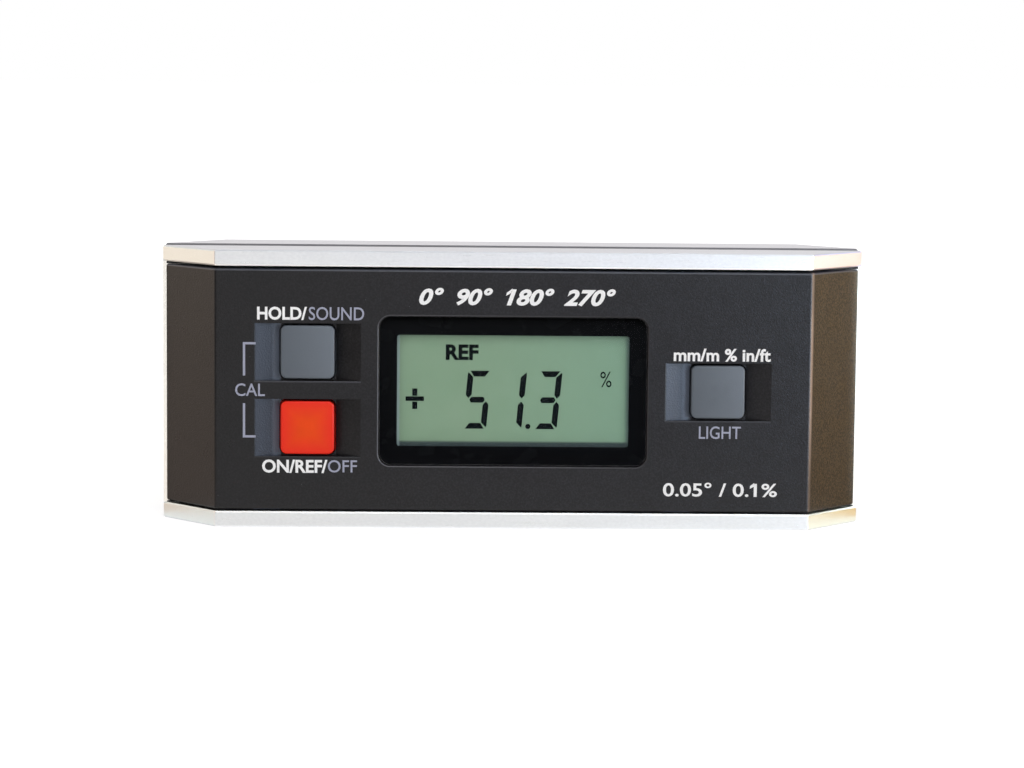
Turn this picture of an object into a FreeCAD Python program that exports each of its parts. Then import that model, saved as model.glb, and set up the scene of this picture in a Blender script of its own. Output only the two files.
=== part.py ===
import FreeCAD, Part
import math
import os

# A digital inclinometer in the form of a box protractor, in millimetres.
# X runs along the body, Y from the display side (-Y) to the battery side (+Y), and Z is up.
# The origin is on the base face, under the middle of the body.

# Clearances and cuts
overrun = 1.0  # how far a cut runs past the material
thread_gap = 0.02  # screw thread to the wall of its bore, measured from the axis
slide_gap = 0.08  # switch plunger to its guide
screw_gap = 0.2  # screw shank to a hole that it only passes through
fit_gap = 0.15  # a piece that lies in a pocket or rebate
key_gap = 0.37  # key to its opening, the dark line round the key
groove_gap = 0.05  # rubber ring to the sides of its groove

# Display: what is seen, then the window over it and the glass behind it
view_width = 50.2
view_height = 24.2
view_corner = 0.6
window_border_x = 3.85
window_border_z = 4.05
window_corner = 2.5
window_thickness = 1.5
window_recess = 0.15
window_drop = 0.25
window_edge = 0.4
window_rim_radius = 0.45
mask_thickness = 0.15
ledge_thickness = 0.7
ledge_step = 0.4
gasket_thickness = 0.6
gasket_inset = 0.5
glass_thickness = 1.1
glass_margin_x = 2.9
glass_margin_z = 3.0
glass_step = 2.2
glass_rim_wall = 1.0
glass_rim_depth = 2.4
strip_width = 1.8
strip_inset = 0.6
light_gap = 0.4

# Keys, the finger scoops round them and the switches behind them
key_width = 11.55
key_height = 11.5
key_corner = 1.3
key_proud = 0.2
key_crown = 0.35
key_edge = 0.45
key_travel = 0.6
key_flange_width = 1.6
key_flange_thickness = 1.0
key_seal_thickness = 0.8
key_stem_radius = 1.6
key_stem_length = 0.3
key_pitch = 16.4
key_pair_drop = 0.15
ramp_length = 5.35
scoop_depth = 2.0
scoop_side = 0.45
scoop_wall = 1.7
scoop_margin = 1.3
rim_radius = 0.2
switch_width = 6.0
switch_height = 2.5
switch_edge = 0.3
plunger_radius = 1.7
plunger_rise = 0.9
plunger_depth = 0.5

# Frame: two plates and the ring web between them
window_to_scoop = 3.905
scoop_to_corner = 8.455
end_chamfer = 12.2
web_depth = 8.0
plate_thickness = 3.4
plate_edge = 0.3
plate_corner = 0.35
rail_thickness = 4.0
end_wall = 4.0
cavity_height = 45.2
groove_depth = 3.2
seal_width = 1.0
seal_depth = 0.8
seal_corner = 1.2

# Covers
cover_recess = 0.3
cover_corner_inset = 0.05
cover_end_inset = 0.75
cover_gap_low = 0.35
cover_gap_high = 0.6
cover_side_wall = 2.0
cover_corner = 0.8
cover_edge = 0.5
cover_boss_radius = 3.0
cover_boss_inset_x = 5.3
cover_boss_inset_z = 3.6
cover_boss_gap = 0.1
cover_boss_floor = 2.6
cover_screw_radius = 1.5
cover_head_radius = 2.75
cover_head_height = 2.0
cover_head_recess = 0.6
cover_cup_wall = 1.2
cover_cup_floor = 1.5

# Circuit board and what is soldered to it
board_thickness = 1.6
board_margin = 4.3
board_corner = 1.0
board_end_gap = 0.5
board_boss_radius = 2.2
board_screw_radius = 1.0
board_screw_length = 5.1
board_screw_inset_z = 3.0
board_head_radius = 1.9
board_head_height = 1.3
board_boss_floor = 2.3
sensor_width = 7.0
sensor_height = 2.6
sensor_edge = 0.4
chip_width = 10.0
chip_height = 1.6
chip_edge = 0.3
crystal_length = 8.0
crystal_radius = 1.5
buzzer_radius = 6.0
buzzer_height = 5.0
buzzer_hole_radius = 1.0
buzzer_hole_depth = 1.2
buzzer_edge = 0.4
resistor_length = 2.0
resistor_width = 1.25
resistor_height = 0.6
resistor_pitch = 2.6
capacitor_radius = 2.0
capacitor_height = 4.4
capacitor_pitch = 5.2

# Batteries, their well, contacts and door
battery_radius = 5.25
battery_length = 44.5
battery_edge = 0.6
button_radius = 1.9
button_height = 1.0
battery_gap = 0.1
battery_side_gap = 0.3
contact_thickness = 0.4
contact_inset = 0.8
tail_width = 2.0
tail_length = 0.8
tail_inset = 3.0
spring_radius = 2.6
spring_wire = 0.35
spring_length = 3.4
lead_radius = 0.6
lead_shift = 3.0
board_to_well = 7.6
well_wall = 1.2
well_floor = 1.2
pad_thickness = 1.2
pad_margin = 3.0
door_thickness = 2.0
door_ledge_z = 3.2
door_ear = 3.9
door_corner = 2.5
door_edge = 0.4
door_frame_depth = 4.0
door_frame_wall = 1.3
door_seal_width = 1.2
door_seal_depth = 0.8
door_seal_inset = 1.0
door_boss_radius = 2.6
door_boss_gap = 0.5
door_boss_length = 5.0
door_boss_floor = 1.2
door_screw_radius = 1.25
door_head_radius = 2.25
door_head_height = 1.1
door_grip_depth = 0.6
door_grip_width = 10.0
door_grip_height = 2.0

# Magnets in the base groove
magnet_radius = 2.5
magnet_height = 4.0
magnet_recess = 1.4
magnet_edge = 0.3

# Screw head drives
recess_width = 0.8
recess_depth = 0.9
head_edge = 0.3

# Counts and shares
spring_turns = 3
resistor_count = 6
capacitor_count = 3
magnet_place_shares = (-0.8, -0.27, 0.27, 0.8)
recess_length_share = 0.62
straight_share = 0.999
touch_share = 0.001
soft_edge_share = 0.3

# Sizes along X that follow from the values above
window_width = view_width + 2 * window_border_x
window_height = view_height + 2 * window_border_z
hole_width = key_width + 2 * key_gap
hole_height = key_height + 2 * key_gap
hole_corner = key_corner + key_gap
scoop_width = hole_width + 2 * ramp_length
scoop_height = key_height + 2 * scoop_side
key_x = window_width / 2 + window_to_scoop + scoop_width / 2
frame_corner_x = key_x + scoop_width / 2 + scoop_to_corner
half_length = frame_corner_x + end_chamfer
cavity_x = half_length - end_wall
cover_corner_x = frame_corner_x - cover_corner_inset
cover_end_x = half_length - cover_end_inset

# Sizes along Z
frame_height = 2 * (plate_thickness + rail_thickness) + cavity_height
mid_z = frame_height / 2
cavity_low = plate_thickness + rail_thickness
cavity_high = frame_height - cavity_low
cover_low = plate_thickness + cover_gap_low
cover_high = frame_height - plate_thickness - cover_gap_high
cover_z = (cover_low + cover_high) / 2
window_z = mid_z - window_drop
hold_z = mid_z - key_pair_drop + key_pitch / 2
power_z = mid_z - key_pair_drop - key_pitch / 2

# Sizes along Y: everything from the face of one cover to the face of the other
front_wall = window_recess + window_thickness + mask_thickness + ledge_thickness
board_drop = (scoop_depth + scoop_wall + key_seal_thickness + key_flange_thickness
              + key_stem_length + plunger_rise + switch_height)
glass_drop = front_wall + gasket_thickness
battery_drop = door_thickness + pad_thickness
well_drop = battery_drop + 2 * battery_radius + battery_gap
covers_depth = board_drop + board_thickness + board_to_well + well_floor + well_drop
half_covers = covers_depth / 2
half_depth = half_covers + cover_recess
half_web = web_depth / 2
board_front = board_drop - half_covers
board_back = board_front + board_thickness
glass_front = glass_drop - half_covers
glass_back = glass_front + 2 * glass_thickness
well_bottom = half_covers - well_drop
battery_y = well_bottom + battery_gap + battery_radius
pad_bottom = half_covers - battery_drop
door_bottom = half_covers - door_thickness

# Places of the screws, the switches and the well
cover_screw_x = frame_corner_x - cover_boss_inset_x
cover_screw_low = cavity_low + cover_boss_inset_z
cover_screw_high = frame_height - cover_screw_low
board_half = cover_screw_x - cover_boss_radius - board_end_gap
board_height = key_pitch + switch_width + 2 * board_margin
glass_width = view_width + 2 * glass_margin_x
glass_height = view_height + 2 * glass_margin_z
key_flange_inner = key_x - key_width / 2 - key_flange_width
board_screw_x = (glass_width / 2 + key_flange_inner) / 2
board_screw_low = mid_z - board_height / 2 + board_screw_inset_z
board_screw_high = 2 * mid_z - board_screw_low
well_half = (battery_length + spring_length) / 2 + contact_thickness
well_height = 4 * battery_radius + 3 * battery_side_gap
battery_rise = battery_radius + battery_side_gap / 2
door_screw_x = well_half + well_wall + door_boss_gap + door_boss_radius
door_half = door_screw_x + door_ear
door_height = well_height + 2 * door_ledge_z

up = FreeCAD.Vector(0, 0, 1)
back = FreeCAD.Vector(0, 1, 0)
right = FreeCAD.Vector(1, 0, 0)


def block(x0, x1, y0, y1, z0, z1):
    """A box between two corners, given in any order."""
    size = (abs(x1 - x0), abs(y1 - y0), abs(z1 - z0))
    corner = FreeCAD.Vector(min(x0, x1), min(y0, y1), min(z0, z1))
    return Part.makeBox(*size, corner)


def rod(x, z, radius, y0, y1):
    """A round bar along Y between two depths."""
    start = FreeCAD.Vector(x, min(y0, y1), z)
    return Part.makeCylinder(radius, abs(y1 - y0), start, back)


def edges_along(shape, axis):
    """The straight edges of a shape that run along an axis."""
    picked = []
    for edge in shape.Edges:
        step = edge.Vertexes[-1].Point - edge.Vertexes[0].Point
        if abs(step.dot(axis)) > straight_share * edge.Length:
            picked.append(edge)
    return picked


def edges_at(shape, axis, place, reach_x=None):
    """The edges that lie in one plane across an axis, and within a reach of the middle."""
    picked = []
    for edge in shape.Edges:
        box = edge.BoundBox
        low = FreeCAD.Vector(box.XMin, box.YMin, box.ZMin).dot(axis)
        high = FreeCAD.Vector(box.XMax, box.YMax, box.ZMax).dot(axis)
        flat = abs(low - place) + abs(high - place) < touch_share * half_length
        near = reach_x is None or max(abs(box.XMin), abs(box.XMax)) < reach_x
        if flat and near:
            picked.append(edge)
    return picked


def tablet(x, z, width, height, y0, y1, corner):
    """A plate that faces along Y, with its four corners rounded."""
    plate = block(x - width / 2, x + width / 2, y0, y1, z - height / 2, z + height / 2)
    return plate.makeFillet(corner, edges_along(plate, back))


def ring(x, z, width, height, wall, y0, y1, corner):
    """A rounded rectangular ring that faces along Y; width and height are its outer sizes."""
    outer = tablet(x, z, width, height, y0, y1, corner)
    inner_corner = max(corner - wall, corner * soft_edge_share)
    inner = tablet(x, z, width - 2 * wall, height - 2 * wall,
                   y0 - overrun, y1 + overrun, inner_corner)
    return outer.cut(inner)


def prism(points, z0, z1):
    """A plan outline, as (x, y) points, carried up from one height to another."""
    loop = [FreeCAD.Vector(x, y, z0) for x, y in points]
    face = Part.Face(Part.makePolygon(loop + loop[:1]))
    return face.extrude(up * (z1 - z0))


def both_ways(points):
    """A half outline on the +X side, closed by its mirror image on the -X side."""
    return points + [(-x, y) for x, y in reversed(points)]


def depth(side, drop):
    """The Y of a point that lies a drop inside the face of the front (-1) or rear (+1) cover."""
    return side * (half_covers - drop)


def compound(shapes):
    """Alike pieces that share one name, each still its own solid."""
    return Part.makeCompound(shapes)


# Frame

def plate(z0, z1):
    """One flange plate, with its edges above and below and its upright corners broken."""
    points = both_ways([(frame_corner_x, -half_depth), (half_length, -half_web),
                        (half_length, half_web), (frame_corner_x, half_depth)])
    body = prism(points, z0, z1)
    body = body.makeFillet(plate_corner, edges_along(body, up))
    return body.makeChamfer(plate_edge, edges_at(body, up, z0) + edges_at(body, up, z1))


def v_groove(face_z, inward):
    """The 90 degree groove for pipes, cut along a plate from its working face."""
    mouth = groove_depth + overrun
    points = [(-mouth, face_z - inward * overrun), (mouth, face_z - inward * overrun),
              (0, face_z + inward * groove_depth)]
    reach = half_length + overrun
    loop = [FreeCAD.Vector(-reach, y, z) for y, z in points]
    return Part.Face(Part.makePolygon(loop + loop[:1])).extrude(right * (2 * reach))


def seal_path():
    """Width, height and corner of the line that the cover rims press on."""
    width = 2 * (cover_end_x - rim_width() / 2) + seal_width
    height = cover_high - cover_low - cover_side_wall + seal_width
    return width, height


def rim_width():
    """How wide the end of a cover's rim is, where its slanting wall meets the web."""
    return cover_side_wall * math.hypot(1, chamfer_slope())


def chamfer_slope():
    """How far the slanting end of a cover runs in X for each millimetre of depth."""
    return (cover_end_x - cover_corner_x) / (half_covers - half_web)


def cover_seal(side):
    """The rubber ring in the web's groove, under the rim of one cover."""
    width, height = seal_path()
    width, height = width - 2 * groove_gap, height - 2 * groove_gap
    return ring(0, cover_z, width, height, seal_width - 2 * groove_gap,
                *sorted((side * half_web, side * (half_web - seal_depth))), seal_corner)


def magnet_places():
    """X of each magnet along the base groove."""
    return [share * frame_corner_x for share in magnet_place_shares]


def make_frame():
    """The frame, machined from one bar: base plate, top plate and the ring web between them."""
    web_low = plate_thickness - plate_edge
    base = plate(0, plate_thickness)
    top = plate(frame_height - plate_thickness, frame_height)
    web = block(-half_length, half_length, -half_web, half_web, web_low, frame_height - web_low)
    cavity = block(-cavity_x, cavity_x, -half_web - overrun, half_web + overrun,
                   cavity_low, cavity_high)
    body = base.fuse([top, web]).removeSplitter().cut(cavity)
    width, height = seal_path()
    for side in (-1, 1):
        groove = ring(0, cover_z, width, height, seal_width,
                      *sorted((side * (half_web + overrun), side * (half_web - seal_depth))),
                      seal_corner)
        body = body.cut(groove)
    body = body.cut(v_groove(0, 1)).cut(v_groove(frame_height, -1))
    for x in magnet_places():
        start = FreeCAD.Vector(x, 0, -overrun)
        bore = Part.makeCylinder(magnet_radius + thread_gap,
                                 overrun + magnet_recess + magnet_height, start, up)
        body = body.cut(bore)
    return body


def make_base_magnets():
    """The round magnets pressed into the base groove, clear of the surface below."""
    magnets = []
    for x in magnet_places():
        start = FreeCAD.Vector(x, 0, magnet_recess)
        magnet = Part.makeCylinder(magnet_radius, magnet_height, start, up)
        magnets.append(magnet.makeChamfer(magnet_edge, edges_at(magnet, up, magnet_recess)))
    return compound(magnets)


# Covers

def chamfer_x(drop, inset):
    """X of a cover's slanting end at a drop behind its face, moved in by a wall's thickness."""
    return cover_corner_x + drop * chamfer_slope() - inset * math.hypot(1, chamfer_slope())


def cover_shell(side):
    """A cover's empty shell: face, two slanting ends, and the walls above and below."""
    rim_drop = half_covers - half_web
    outline = both_ways([(cover_corner_x, depth(side, 0)), (cover_end_x, depth(side, rim_drop))])
    shell = prism(outline, cover_low, cover_high)
    uprights = [edge for edge in edges_along(shell, up)
                if abs(edge.CenterOfMass.x) < (cover_corner_x + cover_end_x) / 2]
    shell = shell.makeFillet(cover_corner, uprights)
    rim = half_web * side
    for z in (cover_low, cover_high):
        loop = [edge for edge in edges_at(shell, up, z)
                if abs(edge.CenterOfMass.y - rim) > touch_share * half_length]
        shell = shell.makeFillet(cover_edge, loop)
    inside = both_ways([(chamfer_x(front_wall, cover_side_wall), depth(side, front_wall)),
                        (chamfer_x(rim_drop + overrun, cover_side_wall),
                         depth(side, rim_drop + overrun))])
    hollow = prism(inside, cover_low + cover_side_wall, cover_high - cover_side_wall)
    return shell.cut(hollow)


def cover_screw_places():
    """Where the four screws that hold both covers to the frame stand."""
    return [(x, z) for x in (-cover_screw_x, cover_screw_x)
            for z in (cover_screw_low, cover_screw_high)]


def board_screw_places():
    """Where the circuit board is screwed to the front cover."""
    return [(x, z) for x in (-board_screw_x, board_screw_x)
            for z in (board_screw_low, board_screw_high)]


def key_places():
    """X and Z of the hold, power and units keys, in that order."""
    return [(-key_x, hold_z), (-key_x, power_z), (key_x, mid_z)]


def scoop(x, z):
    """The finger scoop round a key: two ramps that fall towards the key's opening."""
    face = depth(-1, 0)
    floor = depth(-1, scoop_depth)
    half_scoop = scoop_width / 2
    half_hole = hole_width / 2
    points = [(x - half_scoop, face - overrun), (x - half_scoop, face), (x - half_hole, floor),
              (x + half_hole, floor), (x + half_scoop, face), (x + half_scoop, face - overrun)]
    return prism(points, z - scoop_height / 2, z + scoop_height / 2)


def make_front_cover():
    """The front cover, with the window pocket, the key scoops and the bosses behind them."""
    body = cover_shell(-1)
    inner = depth(-1, front_wall)
    bosses = []
    for x, z in key_places():
        bosses.append(block(x - scoop_width / 2, x + scoop_width / 2,
                            inner - ledge_thickness, depth(-1, scoop_depth + scoop_wall),
                            z - scoop_height / 2 - scoop_margin,
                            z + scoop_height / 2 + scoop_margin))
    for x, z in board_screw_places():
        bosses.append(rod(x, z, board_boss_radius, inner - ledge_thickness, board_front))
    for x, z in cover_screw_places():
        bosses.append(rod(x, z, cover_boss_radius, inner - ledge_thickness, -cover_boss_gap / 2))
    rim_gap = 2 * (fit_gap + glass_rim_wall)
    glass_rim = ring(0, mid_z, glass_width + rim_gap, glass_height + rim_gap, glass_rim_wall,
                     inner - ledge_thickness, inner + glass_rim_depth, glass_rim_wall)
    body = body.fuse(bosses + [glass_rim]).removeSplitter()
    face = depth(-1, 0)
    pocket = tablet(0, window_z, window_width, window_height,
                    face - overrun, depth(-1, front_wall - ledge_thickness), window_corner)
    opening = tablet(0, window_z, view_width + 2 * ledge_step, view_height + 2 * ledge_step,
                     face, inner + overrun, view_corner + ledge_step)
    body = body.cut([pocket, opening] + [scoop(x, z) for x, z in key_places()])
    between = (window_width + window_to_scoop) / 2
    scoop_rims = [edge for edge in edges_at(body, back, face, cover_corner_x - cover_corner)
                  if abs(edge.CenterOfMass.x) > between]
    body = body.makeFillet(rim_radius, scoop_rims)
    body = body.makeFillet(window_rim_radius, edges_at(body, back, face, between))
    for x, z in key_places():
        body = body.cut(tablet(x, z, hole_width, hole_height, face - overrun,
                               board_front, hole_corner))
    for x, z in board_screw_places():
        body = body.cut(rod(x, z, board_screw_radius + thread_gap,
                            inner + board_boss_floor - ledge_thickness, board_front + overrun))
    for x, z in cover_screw_places():
        body = body.cut(rod(x, z, cover_screw_radius + thread_gap,
                            inner + cover_boss_floor, overrun))
    return body


def cover_seat():
    """Y of the face that a cover screw's head bears on."""
    return depth(1, cover_head_recess + cover_head_height)


def make_rear_cover():
    """The rear cover, with the battery well, the door's rebate and the screw bosses."""
    body = cover_shell(1)
    inner = depth(1, front_wall)
    solids = []
    for x, z in cover_screw_places():
        cup = rod(x, z, cover_head_radius + fit_gap + cover_cup_wall,
                  cover_seat() - cover_cup_floor, inner + ledge_thickness)
        solids += [cup, rod(x, z, cover_boss_radius, cover_boss_gap / 2, inner + ledge_thickness)]
    well_z = well_height / 2 + well_wall
    solids.append(block(-well_half - well_wall, well_half + well_wall,
                        well_bottom - well_floor, inner + ledge_thickness,
                        mid_z - well_z, mid_z + well_z))
    frame_gap = 2 * (fit_gap + door_frame_wall)
    solids.append(tablet(0, mid_z, 2 * door_half + frame_gap, door_height + frame_gap,
                         depth(1, door_frame_depth), inner + ledge_thickness,
                         door_corner + fit_gap + door_frame_wall))
    boss_end = depth(1, door_frame_depth + door_boss_length)
    for x in (-door_screw_x, door_screw_x):
        solids.append(rod(x, mid_z, door_boss_radius, boss_end, inner + ledge_thickness))
    body = body.fuse(solids).removeSplitter()
    face = depth(1, 0)
    rebate = tablet(0, mid_z, 2 * (door_half + fit_gap), door_height + 2 * fit_gap,
                    door_bottom, face + overrun, door_corner + fit_gap)
    well = block(-well_half, well_half, well_bottom, face,
                 mid_z - well_height / 2, mid_z + well_height / 2)
    body = body.cut([rebate, well, door_seal_ring(door_seal_width, overrun)])
    for x, z in cover_screw_places():
        body = body.cut(rod(x, z, cover_head_radius + fit_gap, cover_seat(), face + overrun))
    body = body.makeFillet(rim_radius, edges_at(body, back, face, cover_corner_x - cover_corner))
    for x, z in cover_screw_places():
        body = body.cut(rod(x, z, cover_screw_radius + screw_gap, -overrun, face))
    for x in (-door_screw_x, door_screw_x):
        body = body.cut(rod(x, mid_z, door_screw_radius + thread_gap,
                            boss_end + door_boss_floor, face))
    for z in tail_heights():
        body = body.cut(tail(z, screw_gap / 2, overrun))
    return body


# Display

def make_display_window():
    """The clear window, a little below the cover's face."""
    front = depth(-1, window_recess)
    lens = tablet(0, window_z, window_width - 2 * fit_gap, window_height - 2 * fit_gap,
                  front, front + window_thickness, window_corner - fit_gap)
    return lens.makeChamfer(window_edge, edges_at(lens, back, front))


def make_window_mask():
    """The black border on the back of the window, which also sticks it to the cover."""
    front = depth(-1, window_recess + window_thickness)
    sheet = tablet(0, window_z, window_width - 4 * fit_gap, window_height - 4 * fit_gap,
                   front, front + mask_thickness, window_corner - fit_gap)
    view = tablet(0, window_z, view_width, view_height,
                  front - overrun, front + mask_thickness + overrun, view_corner)
    return sheet.cut(view)


def make_display_gasket():
    """The foam ring that presses the display glass away from the cover."""
    wall = glass_margin_z - gasket_inset - 2 * ledge_step
    return ring(0, mid_z, glass_width - 2 * gasket_inset, glass_height - 2 * gasket_inset,
                wall, glass_front - gasket_thickness, glass_front, ledge_step + view_corner)


def make_lcd_panel():
    """The display cell: two sheets of glass, the rear one shorter, so that contacts show."""
    half = glass_width / 2
    low = mid_z - glass_height / 2
    high = mid_z + glass_height / 2
    middle = glass_front + glass_thickness
    front = block(-half, half, glass_front, middle, low, high)
    rear = block(-half, half, middle, glass_back, low + glass_step, high - glass_step)
    return front.fuse(rear).removeSplitter()


def make_contact_strips():
    """The rubber strips that carry the display's signals back to the circuit board."""
    half = glass_width / 2 - strip_inset
    middle = glass_front + glass_thickness
    strips = []
    for side in (-1, 1):
        outer = mid_z + side * (glass_height / 2 - groove_gap)
        strips.append(block(-half, half, middle, board_front, outer - side * strip_width, outer))
    return compound(strips)


def make_backlight():
    """The light guide between the display glass and the circuit board."""
    half_z = glass_height / 2 - glass_step - light_gap
    guide = block(-glass_width / 2 + strip_inset, glass_width / 2 - strip_inset,
                  glass_back, board_front, mid_z - half_z, mid_z + half_z)
    return guide.makeChamfer(light_gap, edges_along(guide, back))


# Keys

def key_solid(x, z):
    """A key cap: crowned face, straight sides, a flange behind the cover and a stem."""
    front = depth(-1, -key_proud)
    flange = depth(-1, scoop_depth + scoop_wall + key_seal_thickness)
    flange_back = flange + key_flange_thickness
    cap = tablet(x, z, key_width, key_height, front, flange_back, key_corner)
    reach = math.hypot(key_width, key_height) / 2
    dome_radius = (reach ** 2 + key_crown ** 2) / (2 * key_crown)
    dome = Part.makeSphere(dome_radius, FreeCAD.Vector(x, front + dome_radius, z))
    cap = cap.common(dome)
    rim = [edge for edge in cap.Edges if edge.BoundBox.YMax < front + 2 * key_crown]
    cap = cap.makeFillet(key_edge, rim)
    skirt = tablet(x, z, key_width + 2 * key_flange_width, key_height + 2 * key_flange_width,
                   flange, flange_back, key_corner)
    stem = rod(x, z, key_stem_radius, flange_back - key_flange_thickness / 2,
               flange_back + key_stem_length)
    return cap.fuse([skirt, stem]).removeSplitter()


def key_seal(x, z):
    """The rubber ring round a key, between the cover and the key's flange."""
    front = depth(-1, scoop_depth + scoop_wall)
    width = key_width + 2 * key_flange_width
    height = key_height + 2 * key_flange_width
    wall = key_flange_width - key_gap - groove_gap
    return ring(x, z, width, height, wall, front, front + key_seal_thickness, key_corner)


def key_switch(x, z):
    """The housing of a push switch on the circuit board, open for its plunger."""
    top = board_front - switch_height
    body = tablet(x, z, switch_width, switch_width, top, board_front, switch_edge)
    body = body.makeChamfer(switch_edge / 2, edges_at(body, back, top))
    guide = rod(x, z, plunger_radius + slide_gap, top - overrun,
                top + plunger_depth + key_travel + slide_gap)
    return body.cut(guide)


def switch_plunger(x, z):
    """The part of a push switch that the key's stem presses."""
    top = board_front - switch_height
    body = rod(x, z, plunger_radius, top - plunger_rise, top + plunger_depth)
    return body.makeChamfer(switch_edge, edges_at(body, back, top - plunger_rise))


# Circuit board

def make_main_board():
    """The circuit board, held by four screws on the front cover's bosses."""
    board = tablet(0, mid_z, 2 * board_half, board_height, board_front, board_back, board_corner)
    for x, z in board_screw_places():
        board = board.cut(rod(x, z, board_screw_radius + screw_gap,
                              board_front - overrun, board_back + overrun))
    return board


def on_board(x, z, width, height, edge):
    """A square package soldered to the back of the circuit board."""
    body = tablet(x, z, width, width, board_back, board_back + height, edge)
    return body.makeChamfer(edge / 2, edges_at(body, back, board_back + height))


def make_tilt_sensor():
    """The acceleration sensor that measures the tilt."""
    return on_board(key_x, mid_z, sensor_width, sensor_height, sensor_edge)


def make_controller_chip():
    """The processor and display driver."""
    return on_board(0, mid_z, chip_width, chip_height, chip_edge)


def make_clock_crystal():
    """The clock crystal, a small can that lies beside the processor."""
    start = FreeCAD.Vector(chip_width, board_back + crystal_radius, mid_z)
    can = Part.makeCylinder(crystal_radius, crystal_length, start, right)
    return can.makeFillet(crystal_radius * soft_edge_share, can.Edges[:3])


def make_buzzer():
    """The sounder for the hold and level tones."""
    top = board_back + buzzer_height
    body = rod(-key_x, mid_z, buzzer_radius, board_back, top)
    body = body.makeChamfer(buzzer_edge, edges_at(body, back, top))
    return body.cut(rod(-key_x, mid_z, buzzer_hole_radius, top - buzzer_hole_depth,
                        top + overrun))


def make_resistors():
    """The row of small resistors above the processor."""
    row = []
    z = mid_z + chip_width / 2 + resistor_length
    for index in range(resistor_count):
        x = (index - (resistor_count - 1) / 2) * resistor_pitch
        row.append(block(x - resistor_width / 2, x + resistor_width / 2,
                         board_back, board_back + resistor_height,
                         z - resistor_length / 2, z + resistor_length / 2))
    return compound(row)


def make_capacitors():
    """The smoothing capacitors beside the tilt sensor."""
    column = []
    x = key_x - sensor_width / 2 - 2 * capacitor_radius
    for index in range(capacitor_count):
        z = mid_z + (index - (capacitor_count - 1) / 2) * capacitor_pitch
        can = rod(x, z, capacitor_radius, board_back, board_back + capacitor_height)
        top = edges_at(can, back, board_back + capacitor_height)
        column.append(can.makeFillet(capacitor_radius * soft_edge_share, top))
    return compound(column)


# Screws

def screw(x, z, seat, point, shank_radius, head_radius, head_height, facing):
    """A round-head screw along Y, with a cross recess. Facing is +1 when its head is at +Y."""
    head_top = seat + facing * head_height
    head = rod(x, z, head_radius, seat, head_top)
    edge = min(head_edge, head_height / 2)
    head = head.makeFillet(edge, edges_at(head, back, head_top))
    body = head.fuse(rod(x, z, shank_radius, seat + facing * head_height / 2, point))
    long = head_radius * recess_length_share
    half = min(recess_width, long) / 2
    floor = head_top - facing * min(recess_depth, head_height / 2)
    for width, height in ((long, half), (half, long)):
        slot = block(x - width, x + width, floor, head_top + facing * overrun,
                     z - height, z + height)
        body = body.cut(slot)
    return body


def make_cover_screws():
    """The four long screws from the rear cover into the front cover."""
    point = depth(-1, front_wall + cover_boss_floor) + cover_screw_radius
    return compound([screw(x, z, cover_seat(), point, cover_screw_radius, cover_head_radius,
                           cover_head_height, 1) for x, z in cover_screw_places()])


def make_board_screws():
    """The four short screws that hold the circuit board."""
    point = board_back - board_screw_length
    return compound([screw(x, z, board_back, point, board_screw_radius, board_head_radius,
                           board_head_height, 1) for x, z in board_screw_places()])


def make_door_screws():
    """The two screws that stay in the battery door when it comes off."""
    seat = half_covers - door_head_height
    point = depth(1, door_frame_depth + door_boss_length) + 2 * door_boss_floor
    return compound([screw(x, mid_z, seat, point, door_screw_radius, door_head_radius,
                           door_head_height, 1) for x in (-door_screw_x, door_screw_x)])


# Batteries

def battery(rise, facing):
    """A round cell along X. Facing is +1 when its raised end is at +X."""
    end = well_half - contact_thickness
    start = FreeCAD.Vector(facing * (end - battery_length), battery_y, mid_z + rise)
    can_length = battery_length - button_height
    can = Part.makeCylinder(battery_radius, can_length, start, right * facing)
    can = can.makeFillet(battery_edge, [edge for edge in can.Edges if edge.Closed
                                        and edge.Length > battery_radius])
    button = Part.makeCylinder(button_radius, battery_length - battery_edge,
                               start + right * (facing * battery_edge), right * facing)
    return can.fuse(button).removeSplitter()


def contact_plate(side, low, high):
    """A flat metal contact against one end wall of the well."""
    outer = side * well_half
    return block(outer - side * contact_thickness, outer,
                 well_bottom, pad_bottom, low, high)


def tail_heights():
    """Z of the two contact tails that pass through the floor of the well."""
    return (mid_z + tail_inset, mid_z - tail_inset)


def tail(z, gap, extra):
    """A contact's soldering tail, or with a gap and extra length the slot for it."""
    outer = well_half + gap
    return block(outer - contact_thickness - 2 * gap, outer,
                 well_bottom - well_floor - tail_length - extra, well_bottom + extra,
                 z - tail_width / 2 - gap, z + tail_width / 2 + gap)


def make_positive_contact():
    """The contact at the raised end of the upper battery."""
    plate_high = mid_z + well_height / 2 - contact_inset
    body = contact_plate(1, mid_z + contact_inset, plate_high)
    return body.fuse(tail(tail_heights()[0], 0, 0)).removeSplitter()


def make_negative_contact():
    """The contact behind the spring of the lower battery."""
    plate_low = mid_z - well_height / 2 + contact_inset
    body = contact_plate(1, plate_low, mid_z - contact_inset)
    return body.fuse(tail(tail_heights()[1], 0, 0)).removeSplitter()


def make_bridge_contact():
    """The contact that joins the two batteries at the other end of the well."""
    half = well_height / 2 - contact_inset
    return contact_plate(-1, mid_z - half, mid_z + half)


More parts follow.
